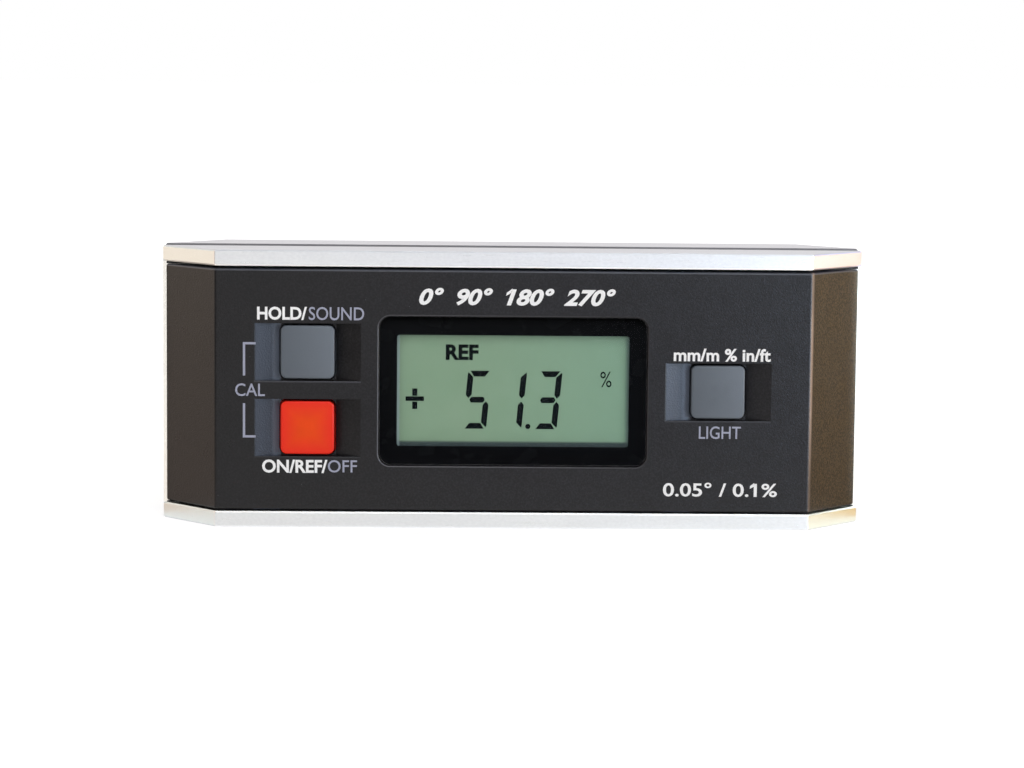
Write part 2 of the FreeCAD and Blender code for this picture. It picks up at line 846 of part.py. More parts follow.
def spring(facing, rise):
    """A compressed contact spring on the plate at one end, as half turns of round wire."""
    base = well_half - contact_thickness - spring_wire
    travel = spring_length - 2 * spring_wire
    steps = 2 * spring_turns

    def point(step):
        angle = step * math.pi
        return FreeCAD.Vector(facing * (base - travel * step / steps),
                              battery_y + spring_radius * math.cos(angle),
                              mid_z + rise + spring_radius * math.sin(angle))

    arcs = [Part.Arc(point(k), point(k + 1 / 2), point(k + 1)).toShape() for k in range(steps)]
    path = Part.Wire(arcs)
    start = arcs[0].tangentAt(arcs[0].FirstParameter)
    ring_edge = Part.Edge(Part.Circle(point(0), start, spring_wire))
    return path.makePipeShell([Part.Wire(ring_edge)], True, False)


def make_battery_springs():
    """One spring for the flat end of each battery."""
    return compound([spring(-1, battery_rise), spring(1, -battery_rise)])


def lead(z):
    """A wire from a contact tail to the circuit board, with one easy bend each way."""
    x = well_half - contact_thickness / 2
    top = well_bottom - well_floor - tail_length
    drop = top - board_back
    radius = (lead_shift ** 2 + drop ** 2) / (4 * lead_shift)
    half_turn = math.asin(drop / 2 / radius)

    def bend(angle):
        return (radius * (1 - math.cos(angle)), radius * math.sin(angle))

    upper = [bend(share * half_turn) for share in (0, 1 / 2, 1)]
    points = [FreeCAD.Vector(x + dx, top - dy, z) for dx, dy in upper]
    lower = [FreeCAD.Vector(x + lead_shift - dx, board_back + dy, z) for dx, dy in reversed(upper)]
    path = Part.Wire([Part.Arc(*points).toShape(), Part.Arc(*lower).toShape()])
    section = Part.Wire(Part.Edge(Part.Circle(points[0], back, lead_radius)))
    return path.makePipeShell([section], True, False)


# Battery door

def door_seal_ring(width, extra):
    """The door's rubber ring, or with extra height the groove for it in the rebate."""
    outer_x = 2 * (well_half + door_seal_inset + door_seal_width)
    outer_z = well_height + 2 * (door_seal_inset + door_seal_width)
    shrink = door_seal_width - width
    return ring(0, mid_z, outer_x - shrink, outer_z - shrink, width,
                door_bottom - door_seal_depth, door_bottom + extra, door_seal_width)


def make_door_seal():
    """The rubber ring under the battery door."""
    return door_seal_ring(door_seal_width - 2 * groove_gap, 0)


def make_battery_door():
    """The battery door, flush with the rear cover, with screw seats and a finger grip."""
    face = half_covers
    door = tablet(0, mid_z, 2 * door_half, door_height, door_bottom, face, door_corner)
    door = door.makeFillet(door_edge, edges_at(door, back, face))
    for x in (-door_screw_x, door_screw_x):
        seat = face - door_head_height
        door = door.cut(rod(x, mid_z, door_head_radius + fit_gap, seat, face + overrun))
        door = door.cut(rod(x, mid_z, door_screw_radius + screw_gap, door_bottom - overrun, face))
    grip_z = mid_z - door_height / 2 + door_ledge_z
    grip = tablet(0, grip_z, door_grip_width, door_grip_height,
                  face - door_grip_depth, face + overrun, door_grip_height * soft_edge_share)
    return door.cut(grip)


def make_battery_pad():
    """The foam pad inside the door that keeps the batteries still."""
    return tablet(0, mid_z, 2 * (well_half - pad_margin), well_height - 2 * pad_margin,
                  pad_bottom, door_bottom, pad_thickness)


def pieces():
    """Every piece of the object, by the name that its file takes."""
    made = {
        "frame": make_frame(),
        "base_magnets": make_base_magnets(),
        "front_cover": make_front_cover(),
        "rear_cover": make_rear_cover(),
        "front_cover_seal": cover_seal(-1),
        "rear_cover_seal": cover_seal(1),
        "cover_screws": make_cover_screws(),
        "display_window": make_display_window(),
        "window_mask": make_window_mask(),
        "display_gasket": make_display_gasket(),
        "lcd_panel": make_lcd_panel(),
        "contact_strips": make_contact_strips(),
        "backlight": make_backlight(),
        "main_board": make_main_board(),
        "board_screws": make_board_screws(),
        "tilt_sensor": make_tilt_sensor(),
        "controller_chip": make_controller_chip(),
        "clock_crystal": make_clock_crystal(),
        "buzzer": make_buzzer(),
        "resistors": make_resistors(),
        "capacitors": make_capacitors(),
        "upper_battery": battery(battery_rise, 1),
        "lower_battery": battery(-battery_rise, -1),
        "positive_contact": make_positive_contact(),
        "negative_contact": make_negative_contact(),
        "bridge_contact": make_bridge_contact(),
        "battery_springs": make_battery_springs(),
        "positive_lead": lead(tail_heights()[0]),
        "negative_lead": lead(tail_heights()[1]),
        "battery_door": make_battery_door(),
        "door_seal": make_door_seal(),
        "door_screws": make_door_screws(),
        "battery_pad": make_battery_pad(),
    }
    for name, place in zip(("hold", "power", "units"), key_places()):
        made[name + "_button"] = key_solid(*place)
        made[name + "_key_seal"] = key_seal(*place)
        made[name + "_switch"] = key_switch(*place)
        made[name + "_plunger"] = switch_plunger(*place)
    return made


os.makedirs("parts", exist_ok=True)
for piece_name, shape in pieces().items():
    shape.exportStep("parts/" + piece_name + ".step")
    box = shape.BoundBox
    print(f"{piece_name:18s} solids {len(shape.Solids)} valid {shape.isValid()} volume {shape.Volume:9.2f}"
          f" x {box.XMin:7.2f} {box.XMax:7.2f} y {box.YMin:7.2f} {box.YMax:7.2f}"
          f" z {box.ZMin:6.2f} {box.ZMax:6.2f}")
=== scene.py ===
# %% [markdown]
# # A digital inclinometer, dressed for the camera
#
# The object is a box protractor: an aluminium frame with two working plates, a V-groove along each,
# and a black cover in front and behind. A display and three keys sit in the front cover, and a
# battery door in the rear one. The solids come ready made and at their real size. This file gives
# each of them its finish, adds what is printed or laid on them, and sets up the studio.

import math

import bmesh
import bpy
import numpy as np
from mathutils import Matrix, Vector


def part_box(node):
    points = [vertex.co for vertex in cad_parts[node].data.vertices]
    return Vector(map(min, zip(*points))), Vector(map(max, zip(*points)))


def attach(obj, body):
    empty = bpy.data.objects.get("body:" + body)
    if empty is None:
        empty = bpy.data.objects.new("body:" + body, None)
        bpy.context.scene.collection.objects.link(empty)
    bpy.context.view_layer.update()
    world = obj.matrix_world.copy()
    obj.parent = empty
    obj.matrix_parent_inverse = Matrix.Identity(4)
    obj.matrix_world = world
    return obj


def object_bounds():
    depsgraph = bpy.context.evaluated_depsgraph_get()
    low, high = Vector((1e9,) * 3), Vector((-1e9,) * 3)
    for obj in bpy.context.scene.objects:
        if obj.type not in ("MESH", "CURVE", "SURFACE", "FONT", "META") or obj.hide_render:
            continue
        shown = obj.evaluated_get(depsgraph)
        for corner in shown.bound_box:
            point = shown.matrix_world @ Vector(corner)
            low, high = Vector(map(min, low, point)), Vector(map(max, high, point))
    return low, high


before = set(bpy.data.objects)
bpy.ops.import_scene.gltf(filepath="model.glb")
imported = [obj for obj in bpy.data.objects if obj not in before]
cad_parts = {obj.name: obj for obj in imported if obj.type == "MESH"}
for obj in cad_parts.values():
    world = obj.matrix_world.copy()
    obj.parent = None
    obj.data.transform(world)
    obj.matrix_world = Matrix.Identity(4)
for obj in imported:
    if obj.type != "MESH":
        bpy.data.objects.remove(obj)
solid_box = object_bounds()
MM = 0.001
part_low, part_high = solid_box


def span(first, last):
    """Two places or lengths in millimetres, as metres."""
    return first * MM, last * MM


def middle_of(name):
    """The centre of a solid's box."""
    box_low, box_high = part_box(name)
    return (box_low + box_high) / 2


print("solids:", len(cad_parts), "size in mm:", [round(size / MM, 2) for size in part_high - part_low])

# %% [markdown]
# ## Camera
#
# The camera stands where the photographer's stood: about 0.68 m in front, a little left of the
# middle and 0.1 m up, so the top plate shows as a thin band. Its place and its three angles were
# worked out from the straight edges of the plates. A focal length in pixels becomes a lens in
# millimetres when it is divided by the picture's width and multiplied by the sensor's width.

# %% Place the camera
picture_width, picture_height = 1024, 768
focal_pixels = 3070.83
sensor_width = 36.0
camera_place = Vector((-14.181, -675.051, 106.115)) * MM
yaw, pitch, roll = 0.02115, -0.11283, 0.00997

ahead = Vector((math.sin(yaw) * math.cos(pitch), math.cos(yaw) * math.cos(pitch), math.sin(pitch)))
level_right = Vector((math.cos(yaw), -math.sin(yaw), 0))
level_up = level_right.cross(ahead)
camera_right = math.cos(roll) * level_right + math.sin(roll) * level_up
camera_up = math.cos(roll) * level_up - math.sin(roll) * level_right

lens = bpy.data.cameras.new("camera")
lens.sensor_width = sensor_width
lens.lens = focal_pixels / picture_width * sensor_width
lens.clip_start, lens.clip_end = 0.01, 50
camera = bpy.data.objects.new("camera", lens)
turn = Matrix((camera_right, camera_up, -ahead)).transposed().to_4x4()
camera.matrix_world = Matrix.Translation(camera_place) @ turn
bpy.context.scene.collection.objects.link(camera)
bpy.context.scene.camera = camera
print("lens in mm:", round(lens.lens, 2))

# %% [markdown]
# ## Node helpers
#
# Every finish below is a small graph of nodes. These helpers keep each graph to a few lines: one
# adds a node, the others make the patterns that come again and again. All patterns read Object
# coordinates, which are metres in the object's own space, so a blob size is written in metres too.

# %% Helpers for node graphs
def node(tree, kind, links=None, values=None, **settings):
    """Add a shader node. Settings are its options, values its fixed inputs, links its wired inputs."""
    made = tree.nodes.new("ShaderNode" + kind)
    for name, value in settings.items():
        setattr(made, name, value)
    for name, value in (values or {}).items():
        made.inputs[name].default_value = value
    for name, socket in (links or {}).items():
        tree.links.new(socket, made.inputs[name])
    return made


def screen(red, green, blue):
    """A colour as a screen shows it, from 0 to 255, turned into the linear values that nodes use."""
    shares = np.array([red, green, blue]) / 255
    linear = np.where(shares <= 0.04045, shares / 12.92, ((shares + 0.055) / 1.055) ** 2.4)
    return (*linear.tolist(), 1.0)


def new_finish(name, **sockets):
    """A material with one Principled shader. Sockets that stay the same all over are set here."""
    material = bpy.data.materials.new(name)
    material.use_nodes = True
    tree = material.node_tree
    tree.nodes.clear()
    shader = node(tree, "BsdfPrincipled")
    for socket, value in sockets.items():
        shader.inputs[socket.replace("_", " ")].default_value = value
    node(tree, "OutputMaterial", links={"Surface": shader.outputs["BSDF"]})
    place = node(tree, "TexCoord").outputs["Object"]
    return material, tree, shader, place


def noise(tree, place, size, stretch=(1, 1, 1), detail=2.0):
    """Cloudy noise from 0 to 1 whose blobs are about size across, drawn out by stretch."""
    scale = [1 / share for share in stretch]
    mapped = node(tree, "Mapping", {"Vector": place}, {"Scale": scale}).outputs["Vector"]
    values = {"Scale": 1 / size, "Detail": detail}
    return node(tree, "TexNoise", {"Vector": mapped}, values).outputs[0]


def between(tree, value, low, high, start=0.3, end=0.7):
    """Carry a value from the range start..end over to the range low..high, and hold it there."""
    values = {"From Min": start, "From Max": end, "To Min": low, "To Max": high}
    return node(tree, "MapRange", {"Value": value}, values).outputs["Result"]


def blend_colours(tree, share, dark, light):
    """A colour between two, by a share from 0 to 1."""
    mixed = node(tree, "Mix", data_type="RGBA")
    for socket, colour in ((6, dark), (7, light)):
        if isinstance(colour, tuple):
            mixed.inputs[socket].default_value = colour
        else:
            tree.links.new(colour, mixed.inputs[socket])
    tree.links.new(share, mixed.inputs[0])
    return mixed.outputs[2]


def bumps(tree, shader, *layers):
    """Stack bump layers, each a height from 0 to 1 and the depth in metres that it stands for."""
    normal = None
    for height, depth in layers:
        links = {"Height": height}
        if normal:
            links["Normal"] = normal
        normal = node(tree, "Bump", links, {"Distance": depth}).outputs["Normal"]
    tree.links.new(normal, shader.inputs["Normal"])


def axis_of(tree, place, axis):
    """One coordinate, X, Y or Z."""
    return node(tree, "SeparateXYZ", {"Vector": place}).outputs[axis]


def calculate(tree, operation, *values):
    """One step of arithmetic on sockets and plain numbers."""
    made = node(tree, "Math", operation=operation)
    for index, value in enumerate(values):
        if isinstance(value, (int, float)):
            made.inputs[index].default_value = value
        else:
            tree.links.new(value, made.inputs[index])
    return made.outputs[0]


def product(tree, first, *others):
    """Shares multiplied together: what is left lies in every one of them."""
    for other in others:
        first = calculate(tree, "MULTIPLY", first, other)
    return first


def above(tree, value, limit):
    """1 where a value is more than a limit, and 0 elsewhere."""
    return calculate(tree, "GREATER_THAN", value, limit)


def below(tree, value, limit):
    """1 where a value is less than a limit, and 0 elsewhere."""
    return calculate(tree, "LESS_THAN", value, limit)


def distance_from(tree, value, centre):
    """How far a value lies from a centre, to either side."""
    return calculate(tree, "ABSOLUTE", calculate(tree, "SUBTRACT", value, centre))


print("helpers ready")

# %% [markdown]
# ## Studio
#
# The picture has a plain white ground. White comes from what the camera sees, not from more light:
# the world and the floor look white to the camera, and to rays that a mirror or a glass sends on,
# and stay a quiet grey for the light that falls on the object. The floor keeps a share of plain
# diffuse white, so that the object's own soft shadow still shows on it. Far from the object no lamp
# reaches the floor, so its glow rises with distance, and no horizon line shows.

# %% World and floor
def seen_directly(tree):
    """1 for a ray from the camera, a mirror or a glass, and 0 for the light that surfaces gather."""
    path = node(tree, "LightPath").outputs
    shiny = calculate(tree, "MAXIMUM", path["Is Camera Ray"], path["Is Glossy Ray"])
    return calculate(tree, "MAXIMUM", shiny, path["Is Transmission Ray"])


ambient = 0.40
world = bpy.data.worlds.new("studio_world")
world.use_nodes = True
tree = world.node_tree
tree.nodes.clear()
gathered = node(tree, "Background", values={"Color": (ambient, ambient, ambient, 1)})
white = node(tree, "Background", values={"Color": (1, 1, 1, 1)})
mixed = node(tree, "MixShader", {0: seen_directly(tree), 1: gathered.outputs[0], 2: white.outputs[0]})
node(tree, "OutputWorld", {"Surface": mixed.outputs[0]})
bpy.context.scene.world = world
bpy.context.scene.view_settings.view_transform = "Standard"


def quad(name, corners, stage_material):
    """A flat sheet of the studio through four corners."""
    mesh = bpy.data.meshes.new(name)
    mesh.from_pydata(corners, [], [(0, 1, 2, 3)])
    mesh.materials.append(stage_material)
    sheet = bpy.data.objects.new(name, mesh)
    bpy.context.scene.collection.objects.link(sheet)
    return sheet


floor_reach = 6.0
floor_drop = 0.05 * MM
floor_shade, plain_shade = 0.35, 0.8
near_glow, far_glow = 0.74, 1.0
near_reach, far_reach = 0.12, 0.75

floor_paint = bpy.data.materials.new("studio_floor")
floor_paint.use_nodes = True
tree = floor_paint.node_tree
tree.nodes.clear()
place = node(tree, "TexCoord").outputs["Object"]
distance = node(tree, "VectorMath", {0: place}, operation="LENGTH").outputs["Value"]
strength = between(tree, distance, near_glow, far_glow, near_reach, far_reach)
plain = node(tree, "BsdfDiffuse", values={"Color": (plain_shade, plain_shade, plain_shade, 1)})
shaded = node(tree, "BsdfDiffuse", values={"Color": (floor_shade, floor_shade, floor_shade, 1)})
glow = node(tree, "Emission", {"Strength": strength})
bright = node(tree, "AddShader", {0: shaded.outputs[0], 1: glow.outputs[0]})
mixed = node(tree, "MixShader", {0: seen_directly(tree), 1: plain.outputs[0], 2: bright.outputs[0]})
node(tree, "OutputMaterial", {"Surface": mixed.outputs[0]})
quad("studio_floor", [(-floor_reach, -floor_reach, -floor_drop), (floor_reach, -floor_reach, -floor_drop),
                      (floor_reach, floor_reach, -floor_drop), (-floor_reach, floor_reach, -floor_drop)],
     floor_paint)
print("floor and world ready")

# %% [markdown]
# Soft boxes shape the object: a wide one overhead, a smaller key high in front, a strong warm one at
# the right and a weaker warm one at the left. Only the key box shows in shiny surfaces, because cards
# stand there for the others. Each is written by the brightness of its face, because that is what a
# shiny surface shows. An area lamp's power is that brightness times its area and pi.

# %% Soft boxes
def soft_box(name, place, target, width, height, brightness, colour, mirrored=True):
    """A rectangular lamp whose face has the given brightness and looks at the target."""
    lamp = bpy.data.lights.new(name, "AREA")
    lamp.shape = "RECTANGLE"
    lamp.size, lamp.size_y = width, height
    lamp.color = colour
    lamp.energy = brightness * math.pi * width * height
    box = bpy.data.objects.new(name, lamp)
    box.location = place
    box.rotation_euler = (Vector(target) - Vector(place)).to_track_quat("-Z", "Y").to_euler()
    box.visible_camera = box.visible_transmission = False
    box.visible_glossy = mirrored
    bpy.context.scene.collection.objects.link(box)
    return box


middle = (0, 0, 0.03)
soft_box("top_box", (0, -0.1, 1.1), middle, 1.2, 1.0, 1.15, (1.0, 0.99, 1.0), False)
soft_box("key_box", (0.06, -0.9, 0.95), middle, 0.6, 0.6, 4.4, (0.90, 0.94, 1.0))
soft_box("right_box", (1.15, 0.1, 0.4), middle, 0.8, 0.7, 3.0, (1.0, 0.66, 0.36), False)
soft_box("left_box", (-1.15, 0.1, 0.4), middle, 0.8, 0.7, 1.5, (1.0, 0.82, 0.72), False)

# %% [markdown]
# A photographer also stands cards round a shiny thing, to give its flanks something dark, bright or
# coloured to mirror. These cards do only that: shiny surfaces see them, and they give no light and
# cast no shadow. The one overhead is what the far wall of the top groove mirrors, so the groove
# shows as a dark line. A camera a little above an upright face sees the floor in it, so mats lie in
# front: a dark one for the left, a bluish grey one for the middle, and a bright one further off for
# the upper plate. The dark card darkens the right ramp of each finger scoop, the cool one lights the
# left ramps, the strip helps the line down the right corner, and the warm ones colour the ends.

# %% Reflection cards
def card(name, corners, colour):
    """A sheet with one colour and brightness that only shows in reflections."""
    paint = bpy.data.materials.new(name)
    paint.use_nodes = True
    paint.node_tree.nodes.clear()
    glow = node(paint.node_tree, "Emission", values={"Color": (*colour, 1)})
    node(paint.node_tree, "OutputMaterial", {"Surface": glow.outputs[0]})
    sheet = quad(name, corners, paint)
    sheet.visible_camera = sheet.visible_diffuse = False
    sheet.visible_transmission = sheet.visible_shadow = False
    return sheet


def upright(first, second, height):
    """The corners of a card that stands on the floor along a line between two points."""
    return [(*first, 0), (*second, 0), (*second, height), (*first, height)]


def lying(left, right, near, far, height=0.5 * MM):
    """The corners of a card that lies just above the floor."""
    return [(left, near, height), (right, near, height), (right, far, height), (left, far, height)]


card("ceiling_card", lying(-0.6, 0.6, -0.45, 0.25, 0.7), (0.07, 0.07, 0.08))
card("dark_mat", lying(-0.55, -0.13, -0.5, -0.1), (0.015, 0.015, 0.02))
card("window_mat", lying(-0.045, 0.12, -0.57, -0.09), (0.56, 0.56, 0.68))
card("far_mat", lying(-0.5, 0.07, -1.4, -0.62), (2.4, 2.4, 2.4))
card("dark_card", upright((-0.55, -0.5), (-0.2, -0.5), 0.36), (0.015, 0.015, 0.02))
card("cool_card", upright((0.165, -0.245), (0.27, -0.13), 0.20), (6.6, 8.3, 10.6))
card("strip_card", upright((0.20, -0.082), (0.206, -0.066), 0.12), (24.0, 21.0, 13.0))
card("right_card", upright((0.8, -0.05), (0.8, 0.35), 0.5), (1.9, 1.32, 0.68))
card("right_mat", lying(0.23, 0.8, -0.06, 0.75), (1.12, 0.74, 0.35))
card("right_near_mat", lying(0.08, 0.23, -0.06, 0.75), (0.82, 0.54, 0.26))
card("left_card", upright((-0.8, -0.45), (-0.8, 0.75), 0.7), (1.7, 1.44, 1.2))
card("left_mat", lying(-0.8, -0.08, -0.06, 0.75), (0.86, 0.70, 0.60))

# %% [markdown]
# ## Finishes
#
# First the general ones: a moulded plastic or rubber has a faint mottle in its colour, a grain that
# the mould left, and patches that shine a little more than others. One function makes them all, from
# a few numbers in millimetres.

# %% Moulded plastic, rubber and foam
cloud_grains, patch_grains, plated_cloud_grains = 30, 12, 40
rough_swing, plated_swing, plated_dark_share = 0.06, 0.08, 0.88


def moulded(name, colour, roughness, grain, depth, mottle=0.15, specular=0.5):
    """A dull moulded finish. Grain and depth are the size and height of its texture in millimetres."""
    material, tree, shader, place = new_finish(name, Specular_IOR_Level=specular)
    cloud = between(tree, noise(tree, place, cloud_grains * grain * MM, detail=4), 0, 1)
    dark = tuple(part * (1 - mottle) for part in colour[:3]) + (1.0,)
    tree.links.new(blend_colours(tree, cloud, dark, colour), shader.inputs["Base Color"])
    patches = noise(tree, place, patch_grains * grain * MM, detail=3)
    rough = between(tree, patches, roughness - rough_swing, roughness + rough_swing)
    tree.links.new(rough, shader.inputs["Roughness"])
    fine = noise(tree, place, grain * MM, detail=3)
    bumps(tree, shader, (fine, depth * MM))
    return material


def plated(name, colour, roughness, grain, depth, stretch=(1, 1, 1), metallic=1.0):
    """A metal finish with fine scratches drawn out along an axis, in millimetres."""
    material, tree, shader, place = new_finish(name, Metallic=metallic)
    cloud = between(tree, noise(tree, place, plated_cloud_grains * grain * MM, detail=3), 0, 1)
    dark = tuple(plated_dark_share * part for part in colour[:3]) + (1.0,)
    tree.links.new(blend_colours(tree, cloud, dark, colour), shader.inputs["Base Color"])
    scratches = noise(tree, place, grain * MM, stretch, detail=4)
    rough = between(tree, scratches, roughness - plated_swing, roughness + plated_swing)
    tree.links.new(rough, shader.inputs["Roughness"])
    bumps(tree, shader, (scratches, depth * MM))
    return material


finishes = {
    "foam_black": moulded("foam_black", screen(34, 34, 36), 0.95, 0.35, 0.12, 0.3, 0.2),
    "strip_rubber": moulded("strip_rubber", screen(225, 215, 196), 0.6, 0.3, 0.01),
    "light_guide": moulded("light_guide", screen(238, 240, 238), 0.35, 0.4, 0.01),
    "seal_rubber": moulded("seal_rubber", screen(44, 44, 46), 0.75, 0.15, 0.02),
    "switch_housing": moulded("switch_housing", screen(52, 50, 50), 0.5, 0.12, 0.01),
    "chip_black": moulded("chip_black", screen(38, 38, 40), 0.55, 0.08, 0.015),
    "sensor_ceramic": moulded("sensor_ceramic", screen(196, 180, 150), 0.5, 0.06, 0.008),
    "lead_red": moulded("lead_red", screen(178, 28, 24), 0.45, 0.3, 0.01),
    "lead_black": moulded("lead_black", screen(30, 30, 32), 0.45, 0.3, 0.01),
    "capacitor_can": plated("capacitor_can", screen(205, 206, 210), 0.3, 0.1, 0.002),
    "contact_nickel": plated("contact_nickel", screen(214, 208, 196), 0.28, 0.08, 0.002, (1, 12, 1)),
    "magnet_nickel": plated("magnet_nickel", screen(206, 204, 200), 0.22, 0.06, 0.001),
    "screw_steel": plated("screw_steel", screen(176, 178, 184), 0.3, 0.07, 0.003),
}
print("general finishes:", len(finishes))

# %% [markdown]
# The frame is a drawn aluminium bar, milled and satin anodised. Drawing and milling leave hair lines
# along it, and the blasting before anodising a fine even grain. Both show in how the surface shines
# more than in its colour, so they go into roughness and bump. Some zones get a tint of their own, and
# most of these are painted light. The working faces are a little darker. The V-groove is darker, as
# painted shade in that hollow. The web between the plates is creamier, as a painted warm reflection.
# The broken edges above and below each plate's front are paler, as painted highlights. The two ends
# carry painted reflections: yellowish below and bluish above at the right, and darker at the left.
# Planes at named heights, depths and lengths tell the zones apart.

# %% Zones of the frame
half_height = (part_high.z - part_low.z) / 2
groove_half, groove_slack = span(3.2, 0.02)
plate_inner = 26.6 * MM
plate_front = part_high.y
bevel = 0.3 * MM
lip_height = 1.05 * bevel
corner_x = 64.25 * MM

# Painted light in these tints: the groove's is painted shade, the web's a painted warm reflection, the rim's
# and lip's painted highlights, and the ends' painted reflections.
frame_tints = {
    "cloud": (0.735, 0.738, 0.733, 1), "clear": (0.775, 0.777, 0.770, 1), "speckle": (0.67, 0.673, 0.67, 1),
    "right_low": (0.77, 0.79, 0.71, 1), "right_high": (0.70, 0.73, 0.98, 1),
    "left_end": (0.69, 0.735, 0.735, 1), "web": (0.96, 0.93, 0.86, 1), "face": (0.61, 0.59, 0.62, 1),
    "groove": (0.39, 0.38, 0.39, 1), "rim": (0.85, 0.85, 0.85, 1), "lip": (1.0, 0.98, 0.94, 1),
}
zone_dulls = {"groove": 0.15, "rim": 0.3, "lip": 0.45}


def frame_zones(tree, place):
    """A share for each zone: 1 where a point is past all the planes that bound it, and 0 elsewhere."""
    x, z = axis_of(tree, place, "X"), axis_of(tree, place, "Z")
    rise = distance_from(tree, z, half_height)
    reach = calculate(tree, "ABSOLUTE", axis_of(tree, place, "Y"))
    at_front = above(tree, reach, plate_front - bevel)
    at_right = above(tree, x, corner_x + bevel)
    on_slope = above(tree, rise, half_height - groove_half + groove_slack)
    return {
        "right_low": product(tree, at_right, below(tree, z, half_height)),
        "right_high": product(tree, at_right, above(tree, z, half_height)),
        "left_end": below(tree, x, -corner_x - bevel),
        "web": below(tree, rise, plate_inner),
        "face": above(tree, rise, half_height - bevel / 4),
        "groove": product(tree, on_slope, below(tree, reach, groove_half)),
        "rim": product(tree, at_front, above(tree, rise, half_height - bevel)),
        "lip": product(tree, at_front, below(tree, rise, plate_inner + lip_height)),
    }


print("zones of the frame:", len(frame_tints) - 3)

# %% Anodised aluminium
line_width, line_depth = span(0.12, 0.006)
blast_width, blast_depth = span(0.16, 0.026)
line_stretch, speckle_stretch, cloud_stretch = (60, 1, 1), (1.6, 1, 1), (3, 1, 1)
frame_speckle, frame_cloud = span(0.5, 9)
line_roughness = (0.27, 0.39)


def anodised():
    """Satin aluminium: hair lines along X, blasted grain, faint clouds, and each zone's tint, mostly painted
    light.
    """
    material, tree, shader, place = new_finish("anodised_aluminium", Metallic=1.0)
    lines = noise(tree, place, line_width, line_stretch, detail=5)
    grain = noise(tree, place, blast_width, detail=3)
    speckle = between(tree, noise(tree, place, frame_speckle, speckle_stretch, detail=4), 0, 0.5, 0.35, 0.65)
    cloud = between(tree, noise(tree, place, frame_cloud, cloud_stretch, detail=4), 0, 1)
    colour = blend_colours(tree, cloud, frame_tints["cloud"], frame_tints["clear"])
    colour = blend_colours(tree, speckle, colour, frame_tints["speckle"])
    rough = between(tree, lines, *line_roughness)
    for zone, share in frame_zones(tree, place).items():
        colour = blend_colours(tree, share, colour, frame_tints[zone])
        if zone in zone_dulls:
            rough = calculate(tree, "ADD", rough, product(tree, share, zone_dulls[zone]))
    tree.links.new(colour, shader.inputs["Base Color"])
    tree.links.new(rough, shader.inputs["Roughness"])
    bumps(tree, shader, (lines, line_depth), (grain, blast_depth))
    return material


finishes["frame_aluminium"] = anodised()
print("frame:", finishes["frame_aluminium"].name)

# %% [markdown]
# The covers are black plastic from a spark-eroded mould: a fine, even, dull grain with a faint
# mottle. A speck of dust here and there keeps a large black face from looking like a hole. The other
# pale places are painted light. The mottle grows paler from left to right, as painted light from the
# right. Painted highlights lie along the top edge, down the right corner, round the rim of the window
# and along the lower edge of each finger scoop. Each scoop's left ramp and its foot are painted paler,
# and the right chamfer gets a painted warm reflection, because on the real object they catch more of
# the room than the lamps and cards here give them.

# %% Places on the covers
cover_low, cover_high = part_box("front_cover")
cover_front, cover_top = cover_low.y, cover_high.z
key_flange = 1.6 * MM
key_edges = [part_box(name)[0].x + key_flange for name in ("hold_button", "units_button")]
ramp_reach, scoop_depth = span(5.9, 2.05)
scoop_half_width, scoop_half_height = span(11.5, 6.2)
window_corner = 2.35 * MM


def outside_of(tree, x, z, low, high, corner):
    """Distance outside a rounded rectangle: |max(q, 0)| + min(max(q), 0) - corner.

    q is how far a point lies past the rectangle whose corners are the corner arcs' centres.
    """
    past = []
    for value, first, last in ((x, low.x, high.x), (z, low.z, high.z)):
        away = distance_from(tree, value, (first + last) / 2)
        past.append(calculate(tree, "SUBTRACT", away, (last - first) / 2 - corner))
    squares = [calculate(tree, "POWER", calculate(tree, "MAXIMUM", part, 0), 2) for part in past]
    beyond = calculate(tree, "SQRT", calculate(tree, "ADD", *squares))
    within = calculate(tree, "MINIMUM", calculate(tree, "MAXIMUM", *past), 0)
    return calculate(tree, "SUBTRACT", calculate(tree, "ADD", beyond, within), corner)


print("left edges of the grey keys in mm:", [round(edge / MM, 2) for edge in key_edges])

# %% Painted light on the covers
painted_light_growth = span(-60, -15)
chamfer_start = (corner_x, corner_x + 1 * MM)
ramp_start, ramp_fade, foot_start = span(0.05, 0.15), span(0.2, 2.0), span(1.35, 1.6)
scoop_line_drop, on_face_depth = span(0.2, 0.1)
scoop_line_fade = span(0.1, 0.24)
rim_place, rim_fade, rim_spread = 0.42 * MM, span(0.05, 0.17), span(-20, 25)
corner_line = corner_x + 0.25 * MM
corner_fade, corner_foot, corner_head = span(0, 0.45), span(10, 26), span(44, 50)


def painted_right_light(tree, x, y, mottle):
    """Shares for the mottle, which grows paler from left to right as painted light from the right, and for
    the right chamfer's painted warm reflection.
    """
    return {"mottle": product(tree, mottle, between(tree, x, 0.3, 0.6, *painted_light_growth)),
            "chamfer": product(tree, mottle, between(tree, x, 0, 0.9, *chamfer_start), below(tree, y, 0))}


def left_ramps(tree, x, depth):
    """Shares for the painted light on each scoop's left ramp, which fades as it falls, and on the ramp's
    foot.
    """
    beside = calculate(tree, "ADD", *[product(tree, above(tree, x, edge - ramp_reach), below(tree, x, edge))
                                      for edge in key_edges])
    beside = product(tree, beside, below(tree, depth, scoop_depth))
    start, fade = between(tree, depth, 0, 1, *ramp_start), between(tree, depth, 1, 0.5, *ramp_fade)
    return {"ramp": product(tree, beside, start, fade),
            "ramp_foot": product(tree, beside, between(tree, depth, 0, 1, *foot_start))}


